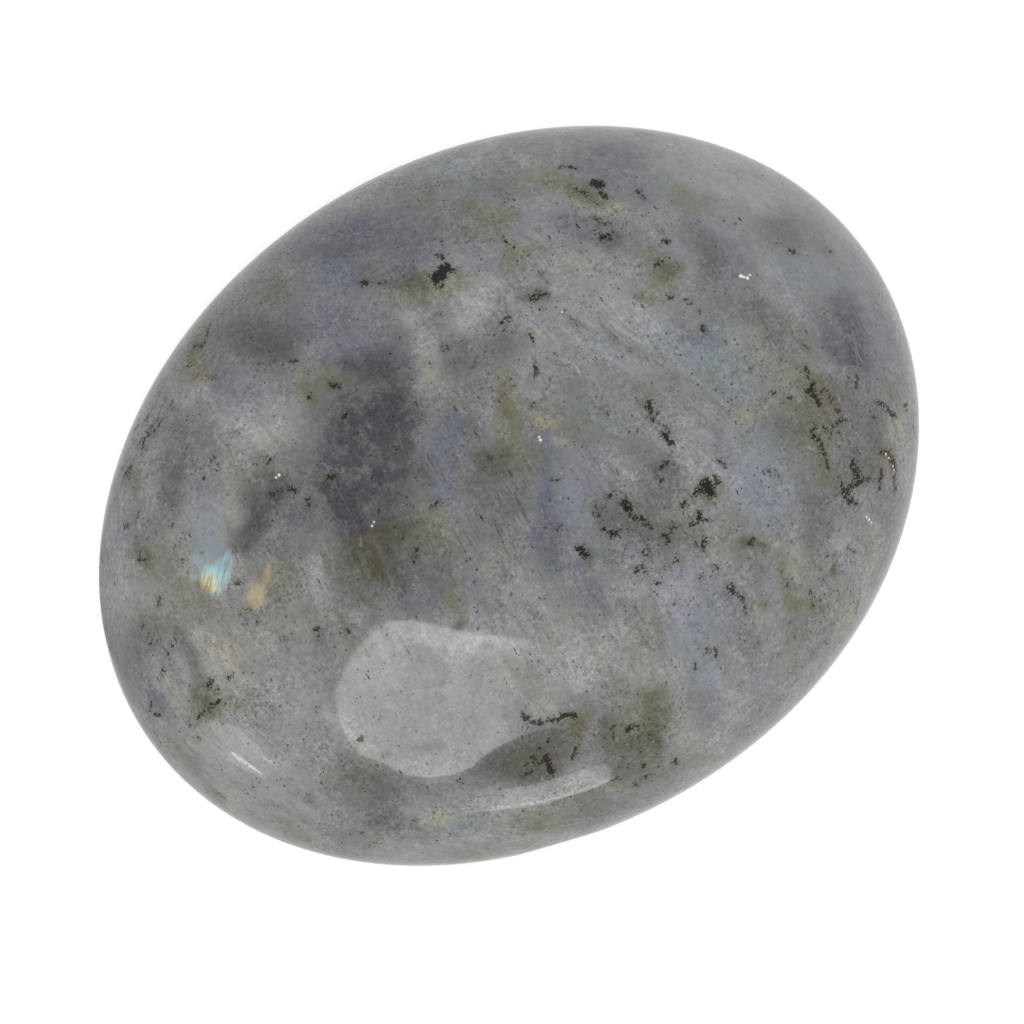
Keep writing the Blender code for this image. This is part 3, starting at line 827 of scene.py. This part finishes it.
def paint_attributes(stone, points):
    chance = random.Random(UNSEEN_SEED)
    moved = warped(points)
    for kind, patches in PATCHES.items():
        count, half_length = UNSEEN[kind]
        everywhere = placed(stone, patches) + unseen_patches(chance, count, half_length)
        softness = EDGE_SOFTNESS.get(kind, DEFAULT_SOFTNESS)
        add_attribute(stone, kind, patches_cover(moved, everywhere, softness))
    for name, areas in AREAS.items():
        everywhere = placed(stone, areas) + unseen_patches(chance, *UNSEEN[name])
        add_attribute(stone, name, patches_cover(moved, everywhere, DEFAULT_SOFTNESS))
    add_attribute(stone, "ink", ink_depth(stone, points, chance))
    cover, hue, lamellae = flash_cover(stone, points)
    add_attribute(stone, "flash", cover)
    add_attribute(stone, "flash_hue", hue)
    add_attribute(stone, "flash_lamellae", lamellae)


class Nodes:
    """Short names for the shader nodes that the stone uses. Each call returns a socket."""

    def __init__(self, tree):
        self.tree = tree

    def new(self, kind, **settings):
        node = self.tree.nodes.new("ShaderNode" + kind)
        for name, value in settings.items():
            setattr(node, name, value)
        return node

    def put(self, socket, value):
        if isinstance(value, bpy.types.NodeSocket):
            self.tree.links.new(value, socket)
        else:
            socket.default_value = value

    def math(self, operation, first, second=0.0, third=0.0, clamp=False):
        node = self.new("Math", operation=operation, use_clamp=clamp)
        for socket, value in zip(node.inputs, (first, second, third)):
            self.put(socket, value)
        return node.outputs[0]

    def vector(self, operation, first, second=(0.0, 0.0, 0.0), scale=1.0):
        node = self.new("VectorMath", operation=operation)
        self.put(node.inputs[0], first)
        if operation == "SCALE":
            self.put(node.inputs["Scale"], scale)
        else:
            self.put(node.inputs[1], second)
        return node.outputs["Value" if operation == "DISTANCE" else "Vector"]

    def remap(self, value, low, high, to_low=0.0, to_high=1.0, smooth=True):
        node = self.new("MapRange", interpolation_type="SMOOTHSTEP" if smooth else "LINEAR", clamp=True)
        for socket, number in zip(node.inputs, (value, low, high, to_low, to_high)):
            self.put(socket, number)
        return node.outputs[0]

    def mix(self, amount, first, second, blend="MIX"):
        node = self.new("Mix", data_type="RGBA", blend_type=blend, clamp_factor=True)
        self.put(node.inputs["Factor"], amount)
        self.put(node.inputs[6], first)
        self.put(node.inputs[7], second)
        return node.outputs[2]

    def attribute(self, name):
        return self.new("Attribute", attribute_name=name).outputs["Fac"]

    def noise(self, place, scale, detail=2.0, roughness=0.5, distortion=0.0, colour=False):
        node = self.new("TexNoise")
        self.put(node.inputs["Vector"], place)
        self.put(node.inputs["Scale"], scale)
        self.put(node.inputs["Detail"], detail)
        self.put(node.inputs["Roughness"], roughness)
        self.put(node.inputs["Distortion"], distortion)
        return node.outputs["Color" if colour else "Fac"]

    def voronoi(self, place, scale, feature="F1", metric="EUCLIDEAN", randomness=1.0):
        node = self.new("TexVoronoi", feature=feature, distance=metric)
        self.put(node.inputs["Vector"], place)
        self.put(node.inputs["Scale"], scale)
        self.put(node.inputs["Randomness"], randomness)
        return node

    def ramp(self, value, stops):
        """Colours along a value, from pairs of position and colour."""
        node = self.new("ValToRGB")
        for number, (position, colour) in enumerate(stops):
            elements = node.color_ramp.elements
            stop = elements[number] if number < 2 else elements.new(position)
            stop.position = position
            stop.color = colour
        self.put(node.inputs[0], value)
        return node.outputs[0]

    def stretched(self, place, turn, stretch):
        """Coordinates turned to a direction of the photograph and drawn out along it."""
        node = self.new("Mapping", vector_type="TEXTURE")
        self.put(node.inputs["Vector"], place)
        node.inputs["Rotation"].default_value = (0.0, 0.0, TURN - math.radians(turn))
        node.inputs["Scale"].default_value = (stretch, 1.0, 1.0)
        return node.outputs[0]


def scaled_by(n, colour, amount):
    """A colour made darker or lighter by a number."""
    return n.vector("SCALE", colour, scale=amount)


CLOUD_DARK = (108, 108, 109)
CLOUD_LIGHT = (150, 150, 149)
BLOCK_TURN = 55.0
BLOCK_TINTS = ((120, 119, 102), (122, 124, 134), (150, 151, 148))


def base_greys(n, place):
    """The cloudy grey under every marking: soft clouds, and blocks of crystal in slight tints."""
    clouds = n.noise(place, 0.20, detail=7.0, roughness=0.80)
    lightness = n.remap(clouds, 0.32, 0.68, smooth=False)
    colour = n.mix(lightness, stone_colour(*CLOUD_DARK), stone_colour(*CLOUD_LIGHT))
    bent = n.vector("ADD", place, n.vector("SCALE", n.noise(place, 0.7, colour=True), scale=1.8))
    blocks = n.voronoi(n.stretched(bent, BLOCK_TURN, 1.8), 0.50, metric="CHEBYCHEV")
    split = n.new("SeparateColor")
    n.put(split.inputs[0], blocks.outputs["Color"])
    fade = n.remap(clouds, 0.40, 0.60, 0.15, 0.55)
    for channel, shown in enumerate(BLOCK_TINTS):
        chosen = n.remap(split.outputs[channel], 0.70, 0.74)
        colour = n.mix(n.math("MULTIPLY", chosen, fade), colour, stone_colour(*shown))
    return colour


# Clouds that eat into the patches: (scale, shift), and how deep they bite
PATCH_CLOUDS = ((0.45, 0.0), (0.8, 11.0), (1.2, 23.0))
PATCH_BREAK = 3.9
SOLID_KINDS_BREAK = 2.9
SOLID_KINDS = ("slate", "moss", "shade", "dusk")
PATCH_FULL = 0.94


def with_patches(n, colour, place, fibres):
    """The listed patches, some partly painted light and shade, their edges eaten away by three clouds and by
    the fibres.
    """
    breaks = []
    for scale, shift in PATCH_CLOUDS:
        cloud = n.noise(n.vector("ADD", place, (shift, -shift, shift)), scale, detail=5.0, roughness=0.78)
        breaks.append(n.math("SUBTRACT", n.math("ADD", cloud, fibres), 1.0))
    for number, kind in enumerate(PATCHES):
        depth = SOLID_KINDS_BREAK if kind in SOLID_KINDS else PATCH_BREAK
        broken = n.math("MULTIPLY_ADD", breaks[number % len(PATCH_CLOUDS)], depth, 1.0)
        cover = n.math("MULTIPLY", n.attribute(kind), broken)
        cover = n.remap(cover, 0.0, 1.0, 0.0, PATCH_FULL, smooth=False)
        colour = n.mix(cover, colour, stone_colour(*KIND_COLOURS[kind]))
    return colour


# Fibres that run slanted, steep and nearly level: (turn, scale)
FIBRES = ((43.0, 0.9), (68.0, 1.0), (12.0, 0.8))
FIBRE_STRETCH = 5.5


def along_fibres(n, place):
    """Feathery noise drawn out along the cleavage, which turns over the stone."""
    slanted, steep, shallow = (
        n.noise(n.stretched(place, turn, FIBRE_STRETCH), scale, detail=5.0, roughness=0.86)
        for turn, scale in FIBRES
    )
    fibres = n.mix(n.attribute("steep"), slanted, steep)
    return n.mix(n.attribute("shallow"), fibres, shallow)


MOTTLE_DEPTH = 2.25
PEPPERED_MOTTLE = 0.35
GRAIN_WHERE_SMOOTH = 0.35


def grain(n, place, fibres, fine):
    """Fibres and fine mottling, as a factor near 1 on the colour."""
    bundle = n.remap(n.noise(place, 0.33, detail=2.0, roughness=0.7), 0.38, 0.62, 0.25, 1.45)
    clear = n.remap(n.attribute("smooth"), 0.0, 1.0, 1.0, GRAIN_WHERE_SMOOTH)
    bundle = n.math("MULTIPLY", bundle, clear)
    fibre_tone = n.math("MULTIPLY_ADD", n.math("SUBTRACT", fibres, 0.5), bundle, 1.0)
    rough = n.remap(n.noise(place, 0.42, detail=3.0, roughness=0.7), 0.40, 0.62, 0.45, 1.25)
    rough = n.math("MULTIPLY_ADD", n.attribute("peppered"), PEPPERED_MOTTLE, rough)
    rough = n.math("MULTIPLY", rough, clear)
    rough = n.math("MULTIPLY", rough, MOTTLE_DEPTH)
    mottle = n.math("MULTIPLY_ADD", n.math("SUBTRACT", fine, 0.5), rough, 1.0)
    return n.math("MULTIPLY", fibre_tone, mottle)


STREAK_TURN = 64.0
SCRATCH_TURN = 58.0
DASH_TURN = 60.0
LAMELLAE_TURN = 109.0


def dark_streaks(n, place):
    """Short, thin, dark lines along the fibres, where the stone has them."""
    lines = n.noise(n.stretched(place, STREAK_TURN, 9.0), 2.2, detail=2.0, roughness=0.65)
    return n.math("MULTIPLY", n.remap(lines, 0.40, 0.30), n.attribute("streaked"))


def hairlines(n, place):
    """Thin straight scratches: the level lines of a long drawn-out cloud, kept here and there."""
    cloud = n.noise(n.stretched(place, SCRATCH_TURN, 26.0), 0.9, detail=0.0)
    near = n.math("ABSOLUTE", n.math("SUBTRACT", cloud, 0.5))
    line = n.remap(near, 0.002, 0.011, 1.0, 0.0)
    kept = n.remap(n.noise(place, 0.45, detail=2.0), 0.52, 0.62)
    return n.math("MULTIPLY", line, kept)


def chosen_cells(n, cells, share_low, share_high, size_low, size_high):
    """Cover of small specks: some cells of a scattered grid hold one, each of its own size."""
    split = n.new("SeparateColor")
    n.put(split.inputs[0], cells.outputs["Color"])
    above = n.math("GREATER_THAN", split.outputs[0], share_low)
    below = n.math("LESS_THAN", split.outputs[0], share_high)
    size = n.remap(split.outputs[1], 0.0, 1.0, size_low, size_high, smooth=False)
    inside = n.remap(n.math("SUBTRACT", size, cells.outputs["Distance"]), 0.0, 0.06)
    return n.math("MULTIPLY", n.math("MULTIPLY", above, below), inside)


STAIN_COLOUR = (98, 95, 80)
INK_COLOUR = (26, 26, 24)
BROWN_INK_COLOUR = (72, 64, 52)
FLECK_COLOUR = (196, 196, 196)
INK_FULL = 0.93
FLECK_FULL = 0.25
PEPPER_FULL = 0.8
# In pixels of the photograph, how far clouds and fine grain move a stroke's edge, and its stain's reach
CLOUDED_EDGE = (-5.2, 3.0)
GRAINY_EDGE = 7.0
STAIN_REACH = 7.0
STAIN_FULL = 0.25
# How many cells hold a speck, and how many more where specks crowd: small ones, dashes, tiny ones
SPECK_SHARES = ((0.15, 0.50), (0.13, 0.35), (0.26, 0.50))


def with_inclusions(n, colour, place, fine):
    """Black and brown inclusions, and their cover: the listed strokes, and specks all over."""
    ragged = n.noise(place, 3.8, detail=3.0, roughness=0.8)
    depth = n.math("ADD", n.attribute("ink"), n.remap(ragged, 0.3, 0.7, *CLOUDED_EDGE, smooth=False))
    depth = n.math("MULTIPLY_ADD", n.math("SUBTRACT", fine, 0.5), GRAINY_EDGE, depth)
    stain = n.remap(depth, -STAIN_REACH, 0.0, 0.0, STAIN_FULL)
    colour = n.mix(stain, colour, stone_colour(*STAIN_COLOUR))
    strokes = n.remap(depth, -0.2, 0.9)
    shaken = n.vector("ADD", place, n.math("MULTIPLY", fine, 0.5))
    crowd = n.remap(n.noise(place, 0.26, detail=3.0, roughness=0.7), 0.38, 0.58, 0.35, 1.0)
    small = n.voronoi(shaken, 1.1)
    tiny = n.voronoi(shaken, 3.2)
    dashes = n.voronoi(n.stretched(shaken, DASH_TURN, 5.0), 2.6)
    peppered = n.attribute("peppered")
    shares = [n.math("MULTIPLY_ADD", peppered, more, few) for few, more in SPECK_SHARES]
    dots = chosen_cells(n, small, 0.0, shares[0], 0.05, 0.16)
    strips = chosen_cells(n, dashes, 0.0, shares[1], 0.08, 0.24)
    pepper = n.math("MULTIPLY", chosen_cells(n, tiny, 0.0, shares[2], 0.12, 0.34), PEPPER_FULL)
    dark = n.math("MAXIMUM", dots, strips)
    specks = n.math("MULTIPLY", n.math("MAXIMUM", dark, pepper), crowd)
    ink = n.math("MAXIMUM", strokes, specks)
    browner = n.remap(ragged, 0.50, 0.66)
    blot = n.mix(browner, stone_colour(*INK_COLOUR), stone_colour(*BROWN_INK_COLOUR))
    colour = n.mix(n.math("MULTIPLY", ink, INK_FULL), colour, blot)
    light_dots = chosen_cells(n, tiny, 0.88, 1.0, 0.10, 0.26)
    light_strips = chosen_cells(n, dashes, 0.90, 1.0, 0.08, 0.22)
    light = n.math("MAXIMUM", light_dots, light_strips)
    colour = n.mix(n.math("MULTIPLY", light, FLECK_FULL), colour, stone_colour(*FLECK_COLOUR))
    return colour, ink


# The painted sheen of the flash, its colours along its hue: (position, colour as the photograph shows it)
FLASH_HUES = ((0.0, (144, 152, 154)), (0.20, (136, 142, 150)), (0.35, (138, 152, 164)),
              (0.55, (162, 200, 204)), (0.68, (208, 214, 182)), (0.82, (208, 186, 142)),
              (1.0, (178, 154, 130)))


def with_flash(n, colour, place):
    """The rainbow flash, a painted sheen, cut by the fine lamellae that cause it."""
    stops = [(position, stone_colour(*shown)) for position, shown in FLASH_HUES]
    hue = n.ramp(n.attribute("flash_hue"), stops)
    lamellae = n.noise(n.stretched(place, LAMELLAE_TURN, 18.0), 5.6, detail=2.0, roughness=0.6)
    cut = n.math("SUBTRACT", n.remap(lamellae, 0.38, 0.60, 0.30, 1.15), 1.0)
    cut = n.math("MULTIPLY_ADD", cut, n.attribute("flash_lamellae"), 1.0)
    return n.mix(n.math("MULTIPLY", n.attribute("flash"), cut), colour, hue)


# painted glint: a pale colour on each chip stands in for the light it catches
CHIP_GLINT_COLOUR = (0.68, 0.68, 0.69, 1.0)
CHIP_GLINT_EDGE = 0.8  # in pixels of the photograph
CHIP_GLINT_FULL = 0.85


def with_chip_glints(n, colour, place, chip_glints):
    """Small chips with a painted glint: (place in millimetres, half width in pixels of the photograph)."""
    for centre, half_width in chip_glints:
        away = n.vector("DISTANCE", place, centre)
        pixels_away = n.math("DIVIDE", away, METRES_PER_PIXEL * MILLIMETRES)
        inside = n.math("SUBTRACT", half_width, pixels_away)
        cover = n.remap(inside, -CHIP_GLINT_EDGE, CHIP_GLINT_EDGE, 0.0, CHIP_GLINT_FULL)
        colour = n.mix(cover, colour, CHIP_GLINT_COLOUR)
    return colour


STREAK_COLOUR = (64, 64, 60)
STREAK_FULL = 0.45
HAIRLINE_COLOUR = (176, 176, 178)
HAIRLINE_FULL = 0.22
POLISHED_ROUGHNESS = 0.05
LABRADORITE_IOR = 1.54
SHINE = (0.43, 0.57)  # the specular level of the dullest polish and of the brightest
SHINE_ON_INK = 0.35


def labradorite(chip_glints):
    material = new_material("labradorite")
    tree = material.node_tree
    n = Nodes(tree)
    place = n.vector("SCALE", n.new("TexCoord").outputs["Object"], scale=MILLIMETRES)
    fine = n.noise(place, 2.8, detail=4.0, roughness=0.9)
    colour = base_greys(n, place)
    fibres = along_fibres(n, place)
    colour = with_patches(n, colour, place, fibres)
    colour = scaled_by(n, colour, grain(n, place, fibres, fine))
    streaks = n.math("MULTIPLY", dark_streaks(n, place), STREAK_FULL)
    colour = n.mix(streaks, colour, stone_colour(*STREAK_COLOUR))
    scratches = n.math("MULTIPLY", hairlines(n, place), HAIRLINE_FULL)
    colour = n.mix(scratches, colour, stone_colour(*HAIRLINE_COLOUR))
    colour, ink = with_inclusions(n, colour, place, fine)
    colour = with_flash(n, colour, place)
    colour = with_chip_glints(n, colour, place, chip_glints)
    shader = tree.nodes["Principled BSDF"]
    n.put(shader.inputs["Base Color"], colour)
    polish = n.math("MULTIPLY", fine, fibres)
    shine = n.remap(polish, 0.14, 0.36, *SHINE, smooth=False)
    shine = n.math("MULTIPLY", shine, n.remap(ink, 0.0, 1.0, 1.0, SHINE_ON_INK, smooth=False))
    n.put(shader.inputs["Specular IOR Level"], shine)
    shader.inputs["Roughness"].default_value = POLISHED_ROUGHNESS
    shader.inputs["IOR"].default_value = LABRADORITE_IOR
    return material


# Highlights, by their outline in the photograph: (strength, then corners as x, y and their share of it)
HIGHLIGHTS = (
    (3.05, (383, 624, 1), (396, 621, 1), (412, 621, 1), (440, 627, 1), (470, 633, 1), (500, 637, 0.8),
     (530, 641, 0.5), (548, 648, 0.35), (560, 655, 0.25), (562, 680, 0.25), (556, 705, 0.25),
     (560, 727, 0.3), (545, 730, 0.4), (530, 733, 0.5), (515, 738, 0.8), (500, 746, 1), (485, 756, 1),
     (470, 768, 1), (452, 776, 1), (425, 778, 1), (405, 775, 1), (392, 768, 1), (378, 761, 1),
     (360, 755, 1), (350, 742, 1), (340, 727, 1), (336, 705, 1), (337, 690, 1), (343, 672, 1),
     (352, 655, 1), (366, 637, 1)),
    (0.75, (561, 655, 1), (578, 653, 1), (592, 655, 1), (598, 663, 1), (593, 680, 1), (586, 690, 1),
     (574, 697, 1), (562, 698, 1)),
    (1.25, (384, 624, 1), (396, 621, 1), (412, 621, 1), (440, 627, 1), (470, 633, 1), (500, 637, 0.8),
     (530, 641, 0.6), (520, 650, 0.5), (478, 650, 0.9), (455, 649, 1), (430, 647, 1), (414, 641, 1),
     (395, 632, 1)),
    (2.1, (450, 792, 0.2), (470, 786, 0.3), (500, 789, 1), (540, 783, 1), (565, 775, 1), (590, 768, 1),
     (608, 764, 0.9), (613, 779, 1), (590, 790, 1), (560, 798, 1), (520, 807, 1), (490, 811, 1.1),
     (460, 812, 0.4)),
    (2.3, (493, 806, 0.6), (520, 804, 1), (545, 799, 1), (572, 791, 0.8), (606, 778, 0.7),
     (608, 781, 0.7), (574, 795, 0.8), (546, 803, 1), (520, 808, 1), (494, 810, 0.6)),
    (1.1, (574, 742, 0.3), (600, 738, 0.3), (606, 760, 0.8), (590, 766, 0.9), (566, 773, 0.8),
     (562, 762, 0.5)),
    (2.1, (208, 722, 0.1), (224, 720, 0.3), (244, 733, 0.9), (262, 748, 0.9), (279, 764, 0.4),
     (266, 779, 0.8), (248, 771, 1), (228, 761, 0.9), (210, 746, 0.2)),
    (6.0, (231, 751, 0.8), (240, 757, 1), (250, 764.5, 1), (262, 774, 1), (263, 775.5, 1),
     (250, 767.5, 1), (239, 759.5, 1), (230.5, 753, 0.7)),
    (2.6, (262, 757, 1), (264, 756.5, 1), (272, 762.5, 1), (271, 764, 1)),
)
PANEL_DISTANCE = 0.6
PANEL_COLOUR = (0.96, 0.98, 1.0, 1.0)


def glow_material(name, strength):
    """Clear glass that adds light of this strength, less where the panel's fade attribute is low."""
    material = new_material(name)
    n = Nodes(material.node_tree)
    glow = n.new("Emission")
    glow.inputs["Color"].default_value = PANEL_COLOUR
    n.put(glow.inputs["Strength"], n.math("MULTIPLY", n.attribute("fade"), strength))
    both = n.new("AddShader")
    n.put(both.inputs[0], n.new("BsdfTransparent").outputs[0])
    n.put(both.inputs[1], glow.outputs[0])
    n.put(material.node_tree.nodes["Material Output"].inputs["Surface"], both.outputs[0])
    return material


def reflected_panel(stone, name, strength, outline_in_photo):
    """A lamp panel of the shape whose reflection in the stone has this outline."""
    corners = []
    for x, y, _ in outline_in_photo:
        place, facing = on_stone(stone, x, y)
        seen = pixel_ray(x, y)
        bounced = seen - facing * (2.0 * seen.dot(facing))
        corners.append(place + bounced * PANEL_DISTANCE)
    middle = sum(corners, Vector()) / len(corners)
    mesh = bpy.data.meshes.new(name)
    count = len(corners)
    fans = [(k, (k + 1) % count, count) for k in range(count)]
    mesh.from_pydata([tuple(c) for c in corners] + [tuple(middle)], [], fans)
    panel = linked(bpy.data.objects.new(name, mesh))
    panel.visible_camera = False
    panel.visible_diffuse = False
    panel.visible_shadow = False
    shares = [share for _, _, share in outline_in_photo]
    fade = mesh.attributes.new("fade", "FLOAT", "POINT")
    fade.data.foreach_set("value", shares + [sum(shares) / count])
    mesh.materials.append(glow_material(name, strength))


FLOOR_REACH = 1.5
FLOOR_COLOUR = (0.92, 0.92, 0.92, 1.0)
FLOOR_ROUGHNESS = 0.9
FLOOR_SPECULAR = 0.1
FLOOR_GLOW = 0.15  # keeps the page white to its edges
WHITE = (1.0, 1.0, 1.0, 1.0)


def make_floor():
    mesh = bpy.data.meshes.new("floor")
    corners = [(x * FLOOR_REACH, y * FLOOR_REACH, 0) for x, y in ((-1, -1), (1, -1), (1, 1), (-1, 1))]
    mesh.from_pydata(corners, [], [(0, 1, 2, 3)])
    floor = linked(bpy.data.objects.new("floor", mesh))
    material = new_material("white_page")
    shader = material.node_tree.nodes["Principled BSDF"]
    shader.inputs["Base Color"].default_value = FLOOR_COLOUR
    shader.inputs["Roughness"].default_value = FLOOR_ROUGHNESS
    shader.inputs["Specular IOR Level"].default_value = FLOOR_SPECULAR
    shader.inputs["Emission Color"].default_value = WHITE
    shader.inputs["Emission Strength"].default_value = FLOOR_GLOW
    mesh.materials.append(material)
    floor.visible_glossy = False


# The side of the room that is brighter, counter-clockwise from the photograph's right
BRIGHT_SIDE = math.radians(-5.0)
BRIGHT_SIDE_GAIN = 0.22
# The room's brightness from straight below to straight above
ROOM_STOPS = ((0.0, 0.78), (0.48, 0.78), (0.55, 0.74), (0.85, 0.62), (0.94, 0.42), (1.0, 0.28))
LAMP_SIDE = 1.2
LAMP_POWER = 34.0
LAMP_HEIGHT = 2.0


def light_room():
    """A pale room, dimmest straight above where the camera is, and a soft lamp overhead."""
    world = bpy.data.worlds.new("room")
    world.use_nodes = True
    bpy.context.scene.world = world
    n = Nodes(world.node_tree)
    split = n.new("SeparateXYZ")
    n.put(split.inputs[0], n.new("TexCoord").outputs["Generated"])
    stops = [(position, (bright, bright, bright, 1.0)) for position, bright in ROOM_STOPS]
    sky = n.ramp(n.remap(split.outputs[2], -1.0, 1.0, smooth=False), stops)
    towards = PHOTO_RIGHT * math.cos(BRIGHT_SIDE) + PHOTO_UP * math.sin(BRIGHT_SIDE)
    east = n.math("MULTIPLY", split.outputs[0], towards.x)
    lean = n.math("MULTIPLY_ADD", split.outputs[1], towards.y, east)
    background = world.node_tree.nodes["Background"]
    n.put(background.inputs["Color"], sky)
    n.put(background.inputs["Strength"], n.math("MULTIPLY_ADD", lean, BRIGHT_SIDE_GAIN, 1.0))
    lamp = bpy.data.lights.new("overhead_lamp", "AREA")
    lamp.size = LAMP_SIDE
    lamp.energy = LAMP_POWER
    overhead = linked(bpy.data.objects.new("overhead_lamp", lamp))
    overhead.location = (0.0, 0.0, LAMP_HEIGHT)
    overhead.visible_glossy = False
    overhead.visible_camera = False


def place_camera():
    data = bpy.data.cameras.new("camera")
    data.lens = LENS
    data.sensor_width = SENSOR
    data.clip_start = NEAREST_SEEN
    camera = linked(bpy.data.objects.new("camera", data))
    camera.location = CAMERA_AT
    camera.rotation_euler = (0.0, 0.0, TURN)
    bpy.context.scene.camera = camera


def main():
    bpy.context.scene.view_settings.view_transform = "Standard"
    stone, points = make_stone()
    bpy.context.view_layer.update()
    paint_attributes(stone, points)
    chip_glints = [(on_stone(stone, x, y)[0] * MILLIMETRES, half_width) for x, y, half_width in GLINTING_CHIPS]
    stone.data.materials.append(labradorite(chip_glints))
    for number, (strength, *outline_in_photo) in enumerate(HIGHLIGHTS):
        reflected_panel(stone, f"lamp_panel_{number}", strength, outline_in_photo)
    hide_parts("stone")
    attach(stone, "root")
    make_floor()
    light_room()
    place_camera()


main()
